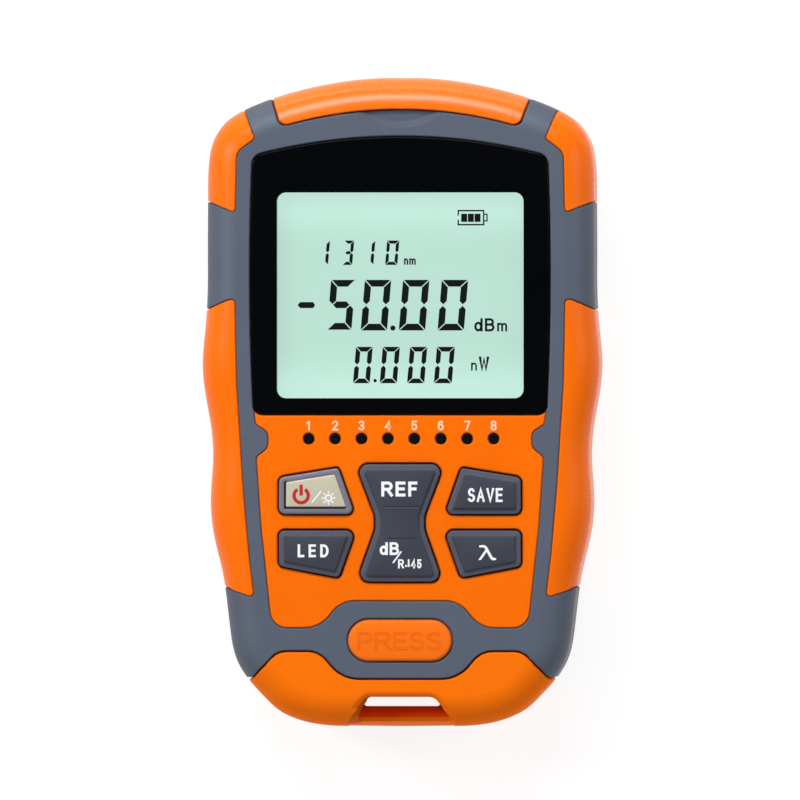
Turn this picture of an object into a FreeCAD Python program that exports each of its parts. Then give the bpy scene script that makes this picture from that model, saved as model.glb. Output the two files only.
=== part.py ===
# Pocket four-in-one fibre tester: optical power meter, visual fault locator,
# network-cable tester and torch. It lies on its back.
# +X right, +Y toward the head with the ports, +Z out of the face.
# Lengths in mm. Z = 0 is the plane it rests on.
import FreeCAD, Part
import math
import os

os.makedirs("parts", exist_ok=True)
V = FreeCAD.Vector
U = 0.19                      # drawing unit: one division of the layout grid
CX = 399.9                    # layout column of the face's centre line
CY = 402.4                    # layout row of the origin


def gx(u, c=CX):
    return (u - c) * U


def gy(v):
    return (CY - v) * U


# ------------------------------------------------------------------ helpers
def box(x0, x1, y0, y1, z0, z1):
    return Part.makeBox(x1 - x0, y1 - y0, z1 - z0, V(x0, y0, z0))


def cyl(x, y, z0, z1, r):
    return Part.makeCylinder(r, z1 - z0, V(x, y, z0), V(0, 0, 1))


def cylx(x0, x1, y, z, r):
    return Part.makeCylinder(r, x1 - x0, V(x0, y, z), V(1, 0, 0))


def cyly(x, y0, y1, z, r):
    return Part.makeCylinder(r, y1 - y0, V(x, y0, z), V(0, 1, 0))


def plate(path, z0, z1):
    """Vertical prism. path: (x, y, r) or (x, y, r, xm, ym); the edge that
    arrives at a vertex is an arc through (xm, ym) if that is given."""
    n = len(path)
    p_in, p_out, arcs, late = [], [], [], []
    for i in range(n):
        a, b, c = path[i - 1], path[i], path[(i + 1) % n]
        p_in.append((b[0], b[1]))
        p_out.append((b[0], b[1]))
        arcs.append(None)
        if b[2] <= 0:
            continue
        if len(b) > 3 or len(c) > 3:
            late.append(b)
            continue
        ux, uy = a[0] - b[0], a[1] - b[1]
        wx, wy = c[0] - b[0], c[1] - b[1]
        lu, lw = math.hypot(ux, uy), math.hypot(wx, wy)
        ux, uy, wx, wy = ux / lu, uy / lu, wx / lw, wy / lw
        ang = math.acos(max(-1.0, min(1.0, ux * wx + uy * wy)))
        if ang > math.pi - 0.01:
            continue
        t = min(b[2] / math.tan(ang / 2), 0.49 * lu, 0.49 * lw)
        r = t * math.tan(ang / 2)
        bx, by = ux + wx, uy + wy
        lb = math.hypot(bx, by)
        k = r / math.sin(ang / 2) - r
        p_in[i] = (b[0] + ux * t, b[1] + uy * t)
        p_out[i] = (b[0] + wx * t, b[1] + wy * t)
        arcs[i] = (b[0] + bx / lb * k, b[1] + by / lb * k)
    edges = []
    for i in range(n):
        q = p_out[i - 1]
        pa, pb = V(q[0], q[1], z0), V(p_in[i][0], p_in[i][1], z0)
        if len(path[i]) > 3:
            edges.append(Part.Arc(pa, V(path[i][3], path[i][4], z0), pb).toShape())
        elif (pa - pb).Length > 1e-6:
            edges.append(Part.makeLine(pa, pb))
        if arcs[i]:
            m = arcs[i]
            edges.append(Part.Arc(pb, V(m[0], m[1], z0), V(p_out[i][0], p_out[i][1], z0)).toShape())
    s = Part.Face(Part.Wire(edges)).extrude(V(0, 0, z1 - z0))
    for b in late:
        es = [e for e in s.Edges if e.BoundBox.XLength < 1e-4 and e.BoundBox.YLength < 1e-4
              and e.BoundBox.ZLength > 0.9 * (z1 - z0)
              and abs(e.BoundBox.XMin - b[0]) < 1e-3 and abs(e.BoundBox.YMin - b[1]) < 1e-3]
        if es:
            s = s.makeFillet(b[2], es)
    return s


def inset(path, d):
    """Straight-sided outline moved inward by d (outward if negative)."""
    n = len(path)
    area = sum(path[i - 1][0] * path[i][1] - path[i][0] * path[i - 1][1] for i in range(n))
    sgn = 1.0 if area > 0 else -1.0
    out = []
    for i in range(n):
        a, b, c = path[i - 1], path[i], path[(i + 1) % n]

        def norm(p, q):
            dx, dy = q[0] - p[0], q[1] - p[1]
            l = math.hypot(dx, dy)
            return (-dy / l * sgn, dx / l * sgn, dx / l, dy / l)
        n1, n2 = norm(a, b), norm(b, c)
        # intersection of the two shifted lines
        p1 = (b[0] + n1[0] * d, b[1] + n1[1] * d)
        p2 = (b[0] + n2[0] * d, b[1] + n2[1] * d)
        den = n1[2] * n2[3] - n1[3] * n2[2]
        if abs(den) < 1e-9:
            x, y = p1
        else:
            t = ((p2[0] - p1[0]) * n2[3] - (p2[1] - p1[1]) * n2[2]) / den
            x, y = p1[0] + n1[2] * t, p1[1] + n1[3] * t
        convex = (n1[2] * n2[3] - n1[3] * n2[2]) * sgn > 0
        r = b[2] - d if convex else b[2] + d
        out.append((x, y, max(r, 0.12) if b[2] > 0 else 0))
    return out


def lay(path, c=CX):
    """Layout divisions to millimetres."""
    out = []
    for p in path:
        q = [gx(p[0], c), gy(p[1]), p[2] * U]
        if len(p) > 3:
            q += [gx(p[3], c), gy(p[4])]
        out.append(tuple(q))
    return out


def mirror(path):
    """Mirror about X = 0, keeping the order of travel."""
    out = []
    for p in reversed(path):
        out.append((-p[0],) + tuple(p[1:3]))
    return out


def zedges(s, z, tol=1e-4):
    return [e for e in s.Edges if abs(e.BoundBox.ZMin - z) < tol and abs(e.BoundBox.ZMax - z) < tol]


def fuse(*ss):
    return tidy(ss[0].fuse(list(ss[1:])))


def cut(s, *ts):
    return s.cut(list(ts))


def tidy(s):
    try:
        t = s.removeSplitter()
        if t.isValid() and abs(t.Volume - s.Volume) < 1e-3 * abs(s.Volume):
            return t
    except Exception:
        pass
    return s


def save(name, shape, slot, want=None, tiny=0.05):
    sol = [q for q in shape.Solids if q.Volume > tiny]
    if want is not None and len(sol) != want:
        print("WARN", name, "solids", len(sol), [round(q.Volume, 3) for q in shape.Solids])
    for q in sol:
        if not q.isValid():
            q.fix(1e-4, 1e-4, 1e-4)
            if not q.isValid():
                print("WARN invalid", name)
    out = sol[0] if len(sol) == 1 else Part.makeCompound(sol)
    out.exportStep("parts/%s.step" % name)
    bb = out.BoundBox
    print("%-24s %2d  vol %9.1f  X %6.1f %6.1f  Y %6.1f %6.1f  Z %5.1f %5.1f" % (
        name, len(sol), out.Volume, bb.XMin, bb.XMax, bb.YMin, bb.YMax, bb.ZMin, bb.ZMax))
    return out


# ------------------------------------------------------------- outer outline
ZF = 27.0     # face
ZP = 12.0     # parting plane of the two shells
RT, RB = 6.2, 5.0
HALF = [(81, 58.3), (87, 90.2), (93, 113.6), (102, 139.8), (111, 160.0), (117, 170.0),
        (123, 177.0), (130, 182.6), (142, 188.8), (162, 192.8), (200, 193.8), (250, 194.0),
        (300, 194.4), (330, 196.6), (362, 199.2), (394, 196.4), (426, 190.8), (458, 188.7),
        (490, 190.7), (506, 191.0), (538, 187.2), (570, 179.6), (602, 174.6), (634, 170.8),
        (650, 168.0), (666, 162.0), (682, 151.0), (698, 136.4), (710, 123.5), (718, 108.5),
        (724.5, 84), (726.8, 45)]
_r = [(0.0, gy(77.5))] + [(w * U, gy(v)) for v, w in HALF] + [(0.0, gy(727.3))]
_pts = _r + [(-x, y) for x, y in reversed(_r[1:-1])]
OUT = Part.BSplineCurve()
OUT.interpolate(Points=[V(x, y, 0) for x, y in _pts], PeriodicFlag=True)


def outline(d):
    if d == 0:
        return OUT
    n = 96
    pts = []
    t0, t1 = OUT.FirstParameter, OUT.LastParameter
    for i in range(n):
        t = t0 + (t1 - t0) * i / n
        p, q = OUT.value(t), OUT.tangent(t)[0]
        pts.append(V(p.x + q.y * d, p.y - q.x * d, 0))
    b = Part.BSplineCurve()
    b.interpolate(Points=pts, PeriodicFlag=True)
    return b


def body(d):
    """The outer body, moved inward by d all round."""
    z0, z1 = d, ZF - d
    s = Part.Face(Part.Wire([outline(d).toShape()])).extrude(V(0, 0, z1 - z0))
    s.translate(V(0, 0, z0))
    s = s.makeFillet(RT - d, zedges(s, z1))
    s = s.makeFillet(RB - d, zedges(s, z0))
    return s


WALL, SKIN = 2.6, 1.3
B0, BS, BW = body(0), body(SKIN), body(WALL)
BIG = 60.0
FRONT = box(-BIG, BIG, -80, 80, ZP, 40)
REAR = box(-BIG, BIG, -80, 80, -5, ZP)

# ------------------------------------------------------- layout of the face
# the two side grips
SIDE_R = lay([(565.2, 299.6, 4), (572.5, 299.9, 3), (640, 328, 0), (640, 556, 0),
              (566.6, 591.6, 10), (545.9, 598.2, 4), (551.0, 556, 60), (557.6, 478, 60), (563.4, 383, 60)])
SIDE_L = mirror(SIDE_R)
# the two upper corners
CORN_R = lay([(556.6, 110.0, 1.5), (600, 110.0, 0), (640, 186, 0), (597, 200.2, 4),
              (564.9, 213.2, 3.2), (563.6, 152.0, 14), (545.6, 139.0, 3)])
CORN_L = mirror(CORN_R)
# the panel that carries the keys
_ph = [(546.3, 409.6, 1.6), (545.2, 424.2, 6), (532.4, 432.2, 9), (532.4, 447.8, 9),
       (544.2, 457.0, 6), (539.4, 527.0, 0), (528.6, 628.0, 17), (480.0, 628.0, 33),
       (460.2, 600.9, 29)]
_pm = [(2 * 400.4 - a, b, c) for a, b, c in reversed(_ph)]
PANEL = lay(_ph + _pm, 400.4)
# the boundary between the main unit and the remote unit
_b = [(150, 652, 14), (320.5 - 399.6, 652, 14), (338.5 - 399.6, 679.2, 16)]
RIM = [(-60.0, gy(679.4), 0), (gx(250.5), gy(679.4), 1.2), (gx(277.5), gy(651.6), 4.0),
       (gx(319.0), gy(651.6), 4.8), (gx(341.5), gy(679.4), 7.2)]
RIM = RIM + [(-x, y, r) for x, y, r in reversed(RIM)]
REMOTE_ZONE = RIM + [(60.0, -90.0, 0), (-60.0, -90.0, 0)]


def remote_zone(d, z0, z1):
    """The remote unit's zone, shrunk by d (grown if negative)."""
    return plate(inset(REMOTE_ZONE, d), z0, z1)


# the dust cover at the head
def cover_zone(d, z0, z1):
    """The cover's zone, grown by d."""
    cx = 400.4
    s = plate([(gx(cx - 119.2, cx) - d, gy(126.4) - d, 9 * U),
               (gx(cx + 119.2, cx) + d, gy(126.4) - d, 9 * U, 0.0, gy(109.1) - d),
               (gx(cx + 133.0, cx) + d, gy(85), 0), (gx(cx + 133.0, cx) + d, 70.0, 0),
               (gx(cx - 133.0, cx) - d, 70.0, 0), (gx(cx - 133.0, cx) - d, gy(85), 0)], z0, z1)
    return s


# the display window
LENS = lay([(399.9 - 147.6, 155.9, 13), (399.9 + 147.6, 155.9, 13, 399.9, 136.6),
            (399.9 + 146.4, 414.7, 10, 399.9 + 150.1, 280), (399.9 - 146.4, 414.7, 10),
            (399.9 - 147.6, 155.9, 13)])[:-1]


def lens_zone(d, z0, z1):
    c = 399.9
    p = [(c - 147.6 - d / U, 155.9 - d / U, 13, c - 150.1 - d / U, 280),
         (c + 147.6 + d / U, 155.9 - d / U, 13, c, 136.6 - d / U),
         (c + 146.4 + d / U, 414.7 + d / U, 10, c + 150.1 + d / U, 280),
         (c - 146.4 - d / U, 414.7 + d / U, 10)]
    return plate(lay(p), z0, z1)


# key apertures
KC = 399.6
A_POWER = lay([(277.4, 476.4, 7), (277.0, 515.5, 8), (356.2, 515.5, 7), (338.8, 466.4, 5)], KC)
A_SAVE = mirror(A_POWER)
A_LED = lay([(277.2, 529.2, 7), (277.2, 567.2, 7), (339.4, 579.2, 6), (357.2, 529.2, 8)], KC)
A_LAMBDA = mirror(A_LED)
_h = [(445.7, 463.0, 10), (425.3, 516.0, 14), (425.3, 529.6, 14), (444.3, 583.0, 10)]
A_ROCKER = lay([(x - 0.1, y, r) for x, y, r in _h] + [(2 * KC - x - 0.1, y, r) for x, y, r in reversed(_h)], KC)
# press button
PR = (451.3 - 347.3) / 2 * U
PRR = 20.8 * U
PY = gy(640.5)


def pill(d, z0, z1):
    r = PRR - d
    l = PR - PRR
    return plate([(-l, PY - r, 0, -l - r, PY), (l, PY - r, 0), (l, PY + r, 0, l + r, PY), (-l, PY + r, 0)], z0, z1)


LEDX = [(309.1 + 26.44 * i - 400.4) * U for i in range(8)]
LEDY = gy(438.7)

# -------------------------------------------------------------------- ports
PZ = 13.0
HY, HZ = 57.5, 6.0           # hinge axis of the dust cover
BEZ0, BEZ1 = 49.8, 51.8      # port plate
OPMX, TORX, VFLX, RJX = -17.5, -8.3, 0.6, 14.0

# ================================================================= main unit
# inside of the two shells
_in = [(-BIG, RIM[0][1] + 2.3, 0)] + [(x, y + 2.3, r) for x, y, r in RIM[1:-1]] + [(BIG, RIM[0][1] + 2.3, 0)]
inside_plan = plate(_in + [(BIG, 50.4, 0), (24.5, 50.4, 0), (24.5, 75, 0), (-24.5, 75, 0), (-24.5, 50.4, 0), (-BIG, 50.4, 0)], -1, 40)
CAV = BW.common(inside_plan)

# mouth of the dust cover
mouth_f = cover_zone(0.2, ZP - 1, 40)
mouth_r = cover_zone(0.2, 3.6, ZP + 1).common(box(-BIG, BIG, HY - 0.4, 80, 3.6, 40))
mouth_r2 = cover_zone(0.2, 5.9, ZP + 1)
# finger notch below the cover
notch = Part.makeCone(12.4, 13.6, 1.2, V(0, gy(126.0) + 13.4, 26.0), V(0, 0, 1))
notch = notch.common(box(-9.5, 9.5, 40, 70, 20, 40))
apertures = [plate(a, 20, 40) for a in (A_POWER, A_SAVE, A_LED, A_LAMBDA, A_ROCKER)]
apertures.append(pill(0, 20, 40))
apertures += [cyl(x, LEDY, 20, 40, 1.02) for x in LEDX]
win = plate([(-24.3, -0.2, 1.2), (24.3, -0.2, 1.2), (24.3, 41.0, 1.2), (-24.3, 41.0, 1.2)], 20, 40)
islands = [plate(p, -2, 40) for p in (SIDE_R, SIDE_L, CORN_R, CORN_L, PANEL)]
SCREWS = [(-29.3, 44.2), (29.3, 44.2), (-26.3, -38.8), (26.3, -38.8)]
POSTS = [(-28.6, 12.0), (28.6, 12.0), (-27.6, -20.0), (27.6, -20.0)]
RKY, RKZ = gy(522.8), 22.7
# the remote unit's tongue
TX, TZ0, TZ1, TY = 15.6, 3.6, 17.4, -33.0
tun = box(-TX - 0.35, TX + 0.35, -60, -30, TZ0 - 0.35, TZ1 + 0.35)

blank_f = B0.common(FRONT).cut(remote_zone(-0.15, -2, 40))
front = cut(blank_f, mouth_f, lens_zone(0.1, 25.4, 40), notch, win, *apertures)
skin_f = cut(front, BS, *islands)
shell = cut(front, CAV, skin_f)
add = [cyl(x, y, ZP + 0.15, 25.0, 2.7) for (x, y) in SCREWS]
add += [cyl(x, y, 19.6, 25.0, 2.0) for (x, y) in POSTS]
for s in (-1, 1):
    add.append(box(min(s * 5.75, s * 7.35), max(s * 5.75, s * 7.35), RKY - 1.6, RKY + 1.6, 21.3, 24.6))
shell = shell.fuse(add)
sub = [cyl(x, y, ZP - 1, 22.0, 1.25) for (x, y) in SCREWS]
sub += [cyl(x, y, 19.0, 24.0, 0.75) for (x, y) in POSTS]
shell = cut(shell, cylx(-7.0, 7.0, RKY, RKZ, 0.6), tun, *sub)

# rear shell
RPAN = [(-26.5, -35.0, 5), (26.5, -35.0, 5), (26.5, 44.5, 5), (-26.5, 44.5, 5)]
rpan = plate(RPAN, -2, 6)
# room for the dust cover's hinge
hcut = [cylx(-12.2, 12.2, HY, HZ, 4.45), cylx(-16.2, -12.2, HY, HZ, 4.35), cylx(12.2, 16.2, HY, HZ, 4.35),
        cylx(-20.2, -16.2, HY, HZ, 3.4), cylx(16.2, 20.2, HY, HZ, 3.4),
        cylx(-25.4, -20.2, HY, HZ, 2.9), cylx(20.2, 25.4, HY, HZ, 2.9),
        box(-12.5, 12.5, 58.0, 80, 1.25, ZP), box(-16.4, 16.4, 59.2, 80, 1.9, 3.7), box(-20.6, 20.6, 58.8, 80, 2.4, 3.7),
        box(-25.4, 25.4, 58.2, 80, 3.1, 3.7)]
rear = B0.common(REAR).cut(remote_zone(-0.15, -2, 40))
rear = cut(rear, mouth_r, mouth_r2)
skin_r = cut(rear, BS, rpan, *islands[:4])
rshell = cut(rear, CAV, skin_r)
rshell = cut(rshell, *hcut)
bay = box(-18.6, 18.6, -27.2, 24.2, 2.4, 14.4)
ledge = box(-20.2, 20.2, -28.8, 25.8, 1.6, 3.6)
add = [bay, ledge]
add += [cyl(x, y, 2.0, ZP - 0.15, 3.3) for (x, y) in SCREWS]
for s in (-1, 1):
    x0, x1 = (6.2, 12.0) if s > 0 else (-12.0, -6.2)
    add += [cylx(x0, x1, HY, HZ, 2.1), box(x0, x1, 54.6, HY - 0.1, 1.4, HZ)]
    x0, x1 = (22.6, 24.6) if s > 0 else (-24.6, -22.6)
    add.append(box(x0, x1, 47.9, BEZ0, 2.4, ZP - 0.2))
rshell = rshell.fuse(add)
sub = [box(-17.0, 17.0, -25.6, 22.6, -1, 13.1), box(-18.5, 18.5, -27.1, 24.1, -1, 2.35),
       cylx(-12.0, 12.0, HY, HZ, 0.8), tun]
for (x, y) in SCREWS:
    sub += [cyl(x, y, -1, 3.9, 2.5), cyl(x, y, 3, ZP + 1, 1.4)]
rshell = cut(rshell, *sub)
skin_r = cut(skin_r, tun, *(hcut + [cyl(x, y, -1, 20, 3.3) for (x, y) in SCREWS]))

save("front_shell", shell, "abs_orange", 1)
save("front_overmould", skin_f, "tpe_grey", 1)
save("rear_shell", rshell, "abs_orange", 1)
save("rear_overmould", skin_r, "tpe_grey")

# ---------------------------------------------------------------- dust cover
cz = cover_zone(0.0, 0, 40)
roll = B0.common(cz).cut(body(2.0))
cov = roll.cut(box(-BIG, BIG, 0, 80, -2, 3.8))
cov = cov.cut(box(-BIG, BIG, 0, HY + 0.1, -2, 6.1))
cov = cov.cut(box(-12.3, 12.3, 40, 80, -2, 8.6))
quarter = cylx(-6.0, 6.0, HY, HZ, 4.2).common(box(-6, 6, HY, 80, 0, HZ)).common(B0)
fill = roll.common(box(-6.0, 6.0, HY, 80, HZ - 0.1, 9.0))
cov = cov.fuse(fill).fuse(quarter).fuse(cylx(-6.0, 6.0, HY, HZ, 2.2))
cov = cov.cut(cylx(-7, 7, HY, HZ, 0.85))
save("top_cover", cov, "abs_orange", 1)
save("cover_hinge_pin", cylx(-11.9, 11.9, HY, HZ, 0.8), "steel", 1)

# ---------------------------------------------------------------- port plate
bez = box(-24.35, 24.35, BEZ0, BEZ1, 2.75, 24.2).common(body(2.75))
bez = cut(bez, cyly(OPMX, 40, 60, PZ, 4.0), cyly(TORX, 40, 60, PZ, 2.6), cyly(VFLX, 40, 60, PZ, 3.0),
          box(RJX - 8.05, RJX + 8.05, 40, 60, 6.15, 17.85))
save("port_plate", bez, "abs_black", 1)

# optical power meter port: threaded adapter with a 2.5 mm ferrule bore
opm = fuse(cyly(OPMX, 44.4, 56.2, PZ, 3.95), cyly(OPMX, 48.6, BEZ0 - 0.02, PZ, 4.9))
for i in range(5):
    y = 52.6 + 0.75 * i
    ring = cyly(OPMX, y, y + 0.36, PZ, 4.4).cut(cyly(OPMX, y - 0.1, y + 0.5, PZ, 3.62))
    opm = opm.cut(ring)
opm = cut(opm, cyly(OPMX, 43, 60, PZ, 1.25), cyly(OPMX, 53.4, 60, PZ, 2.9), box(OPMX - 0.9, OPMX + 0.9, 54.2, 57, PZ, PZ + 5))
sleeve = cyly(OPMX, 46.4, 55.4, PZ, 1.85).cut(cyly(OPMX, 40, 60, PZ, 1.25))
opm = opm.cut(cyly(OPMX, 46.4, 60, PZ, 1.85))
save("opm_adapter", opm, "nickel", 1)
save("opm_sleeve", sleeve, "ceramic", 1)
det = fuse(cyly(OPMX, 39.6, 44.35, PZ, 2.7), cyly(OPMX, 38.9, 39.6, PZ, 3.1))
for a in (0, 120, 240):
    dx, dz = 1.2 * math.cos(math.radians(a)), 1.2 * math.sin(math.radians(a))
    det = det.fuse(cyly(OPMX + dx, 33.5, 39.0, PZ + dz, 0.22))
save("photodetector", det, "nickel", 1)
# visual fault locator
vfl = fuse(cyly(VFLX, 45.6, 55.9, PZ, 2.95), cyly(VFLX, 48.4, BEZ0 - 0.02, PZ, 3.7))
vfl = cut(vfl, cyly(VFLX, 44, 60, PZ, 1.25), cyly(VFLX, 55.3, 60, PZ, 1.9))
save("vfl_sleeve", vfl, "nickel", 1)
las = fuse(cyly(VFLX, 31.0, 45.55, PZ, 3.4), cyly(VFLX, 30.2, 31.0, PZ, 2.8))
save("vfl_laser_module", las, "brass", 1)
# torch
tor = fuse(cyly(TORX, 47.0, 52.4, PZ, 2.5), Part.makeSphere(2.5, V(TORX, 52.4, PZ)), cyly(TORX, 46.2, 47.0, PZ, 2.9))
tor = tor.cut(box(TORX - 4, TORX + 4, 40, 46.2, PZ - 4, PZ + 4))
save("torch_led", tor, "clear_plastic", 1)
# network jack
def jack(cx, yb, yf, zlo, zhi, mz0, mz1, depth, sgn):
    """Jack body whose mouth is at yf and opens along sgn*Y."""
    y0, y1 = min(yb, yf), max(yb, yf)
    s = box(cx - 8.0, cx + 8.0, y0, y1, zlo, zhi)
    m0, m1 = (yf - depth, yf + 1) if sgn > 0 else (yf - 1, yf + depth)
    s = s.cut(box(cx - 5.9, cx + 5.9, m0, m1, mz0, mz1))
    s = s.cut(box(cx - 3.2, cx + 3.2, m0, m1, mz0 - 1.4, mz0 + 0.1))
    return s


def contacts(cx, yf, depth, mz1, sgn):
    out = []
    for i in range(8):
        x = cx + (i - 3.5) * 1.02
        y0, y1 = (yf - depth + 0.3, yf - 2.2) if sgn > 0 else (yf + 2.2, yf + depth - 0.3)
        out.append(box(x - 0.17, x + 0.17, y0, y1, mz1 - 0.55, mz1 - 0.2))
    return out


rj = jack(RJX, 35.6, BEZ1 - 0.1, 6.2, 17.8, 9.4, 16.8, 12.0, 1)
save("rj45_jack", rj, "abs_black", 1)
save("rj45_contacts", Part.makeCompound(contacts(RJX, BEZ1 - 0.1, 12.0, 16.8, 1)), "gold", 8, 0.01)

# -------------------------------------------------------- window and display
lens = lens_zone(0.0, 25.4, 27.0)
try:
    lens = lens.makeFillet(0.35, zedges(lens, 27.0))
except Exception as e:
    print("lens fillet", e)
save("lens_window", lens, "lens_black", 1)
save("lcd_panel", box(-25.0, 25.0, -1.2, 41.9, 22.3, 24.3), "lcd", 1)
save("backlight_guide", box(-25.6, 25.6, -1.8, 42.4, 19.75, 22.28), "acrylic", 1)

# ---------------------------------------------------------------- main board
pcb = plate([(-29.8, -37.5, 1), (29.8, -37.5, 1), (32.6, -5.0, 1), (32.6, 40.0, 1), (28.6, 47.0, 1),
             (-28.6, 47.0, 1), (-32.6, 40.0, 1), (-32.6, -5.0, 1)], 17.9, 19.5)
for (x, y) in SCREWS:
    pcb = pcb.cut(cyl(x, y, 10, 30, 3.2))
for (x, y) in POSTS:
    pcb = pcb.cut(cyl(x, y, 10, 30, 0.9))
pcb = pcb.cut(box(-8, 8, -60, -33.2, 10, 30))
save("main_pcb", pcb, "pcb_green", 1)
ps = [fuse(cyl(x, y, 17.2, 17.85, 1.6), cyl(x, y, 17.2, 23.4, 0.7)) for (x, y) in POSTS]
save("pcb_screws", Part.makeCompound(ps), "steel", 4)
chips = [box(-8, 6, -5, 9, 16.4, 17.85), box(-22, -12, 26, 34, 16.4, 17.85), box(23, 30, 18, 26, 15.6, 17.85),
         box(-28, -22, -12, -4, 16.6, 17.85), box(10, 17, -16, -8, 16.2, 17.85)]
save("board_chips", Part.makeCompound(chips), "chip_black", 5)
save("buzzer", cyl(28.4, -8.0, 19.55, 23.2, 4.0).cut(cyl(28.4, -8.0, 22.6, 24, 0.9)), "chip_black", 1)
save("indicator_leds", Part.makeCompound([box(x - 0.8, x + 0.8, LEDY - 0.4, LEDY + 0.4, 19.5, 20.2) for x in LEDX]), "led_body", 8)
lp = box(LEDX[0] - 1.6, LEDX[-1] + 1.6, LEDY - 1.3, LEDY + 1.3, 22.6, 23.9)
for x in LEDX:
    p = cyl(x, LEDY, 20.6, 26.93, 0.98)
    lp = lp.fuse(p)
save("led_light_pipes", tidy(lp), "pipe_clear", 1)

# -------------------------------------------------------------------- keypad
KGAP = 0.26


def keycap(path, rim=0.98, ztop=28.15, zrim=27.62):
    o = inset(path, KGAP)
    base = plate(o, 22.0, zrim)
    base = base.makeFillet(0.3, zedges(base, zrim))
    top = plate(inset(o, rim), zrim - 0.6, ztop)
    top = top.makeFillet(0.3, zedges(top, ztop))
    fl = plate(inset(path, -0.75), 22.6, 24.15)
    return fuse(base, top, fl)


key_led = keycap(A_LED)
key_save = keycap(A_SAVE)
key_lambda = keycap(A_LAMBDA)
# the power key is a ring with a translucent insert
o = inset(A_POWER, KGAP)
kp = plate(o, 22.0, 27.75)
kp = kp.makeFillet(0.45, zedges(kp, 27.75))
kp = kp.fuse(plate(inset(A_POWER, -0.75), 22.6, 24.15))
INS = inset(o, 1.30)
kp = kp.cut(plate(inset(INS, -0.16), 25.2, 40)).removeSplitter()
ins = plate(INS, 25.2, 27.95)
ins = ins.makeFillet(0.3, zedges(ins, 27.95))
save("key_power", kp, "key_ring", 1)
save("key_power_insert", ins, "key_insert", 1)
save("key_led", key_led, "key_grey", 1)
save("key_save", key_save, "key_grey", 1)
save("key_lambda", key_lambda, "key_grey", 1)
# rocker on its own pin
o = inset(A_ROCKER, KGAP)
rk = plate(o, 22.4, 27.62)
rk = rk.makeFillet(0.3, zedges(rk, 27.62))
top = plate(inset(o, 0.98), 27.0, 28.15)
top = top.makeFillet(0.3, zedges(top, 28.15))
rk = fuse(rk, top)
rk = rk.cut(box(-12, 12, -60, RKY - 3.2, 20, 23.2)).cut(box(-12, 12, RKY + 3.2, 0, 20, 23.2))
rk = rk.fuse(cylx(-4.5, 4.5, RKY, RKZ, 1.5)).cut(cylx(-20, 20, RKY, RKZ, 0.65)).removeSplitter()
save("key_rocker", rk, "key_grey", 1)
save("rocker_pin", cylx(-6.9, 6.9, RKY, RKZ, 0.6), "steel", 1)

mem = plate([(-23.8, -36.4, 2), (23.8, -36.4, 2), (23.8, -10.4, 2), (-23.8, -10.4, 2)], 19.55, 20.7)
mem = mem.cut(box(-8, 8, -60, -35.4, 10, 30))


def centre(path):
    return (sum(p[0] for p in path) / len(path), sum(p[1] for p in path) / len(path))


DOME = {}
for nm, path in (("power", A_POWER), ("save", A_SAVE), ("led", A_LED), ("lambda", A_LAMBDA)):
    x, y = centre(path)
    DOME[nm] = (x, y)
save("keypad_membrane", mem, "silicone", 1)
for nm in DOME:
    x, y = DOME[nm]
    d = Part.makeCone(3.4, 2.2, 1.29, V(x, y, 20.7), V(0, 0, 1))
    d = d.cut(Part.makeCone(2.9, 1.7, 0.9, V(x, y, 20.7), V(0, 0, 1)))
    save("dome_%s" % nm, d, "silicone", 1)
# two domes under the ends of the rocker
rd = []
for y in (RKY + 7.4, RKY - 7.4):
    rd.append(Part.makeCone(3.2, 2.0, 2.15, V(0, y, 20.7), V(0, 0, 1)))
save("rocker_domes", Part.makeCompound(rd), "silicone", 2)

# -------------------------------------------------------------- press button
pb = pill(0.28, 22.4, 27.5)
pb = pb.makeFillet(0.7, zedges(pb, 27.5))
fl = pill(-0.8, 22.4, 23.5)
stem = cyl(0, PY, 15.95, 22.6, 2.0)
pb = fuse(pb, fl, stem)
save("press_button", pb, "abs_orange_bright", 1)
carrier = box(-11.3, 11.3, PY - 3.3, PY + 4.4, 18.9, 20.1).cut(cyl(0, PY, 10, 30, 2.3))
for s in (-1, 1):
    x0, x1 = (12.1, 14.4) if s > 0 else (-14.4, -12.1)
    carrier = carrier.fuse(box(min(s * 11.0, s * 14.4), max(s * 11.0, s * 14.4), PY - 0.4, PY + 3.5, 18.9, 24.38))
    carrier = carrier.cut(pill(-1.1, 20.1, 40))
save("button_carrier", tidy(carrier), "abs_black", 1)


def coil(cx, cy, z0, z1, r, wire, turns):
    h = Part.makeHelix((z1 - z0 - wire * 2) / turns, z1 - z0 - wire * 2, r)
    w = Part.Wire(h.Edges)
    c = Part.Wire([Part.makeCircle(wire, V(r, 0, 0), V(0, 1, 0.0))])
    s = w.makePipeShell([c], True, True)
    s.translate(V(cx, cy, z0 + wire))
    return s


cone = Part.makeCone(3.75, 2.75, 2.24, V(0, PY, 20.12), V(0, 0, 1)).cut(Part.makeCone(3.5, 2.5, 2.24, V(0, PY, 20.12), V(0, 0, 1)))
save("press_spring", cone, "steel", 1)
leaf = fuse(box(-3.4, 3.4, -47.0, -31.6, 15.5, 15.85), box(-3.4, 3.4, -31.95, -31.6, 15.5, 17.85),
            box(-3.4, -2.6, -46.6, -45.4, 15.7, 17.2), box(2.6, 3.4, -46.6, -45.4, 15.7, 17.2))
save("latch_leaf", leaf, "steel", 1)

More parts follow.
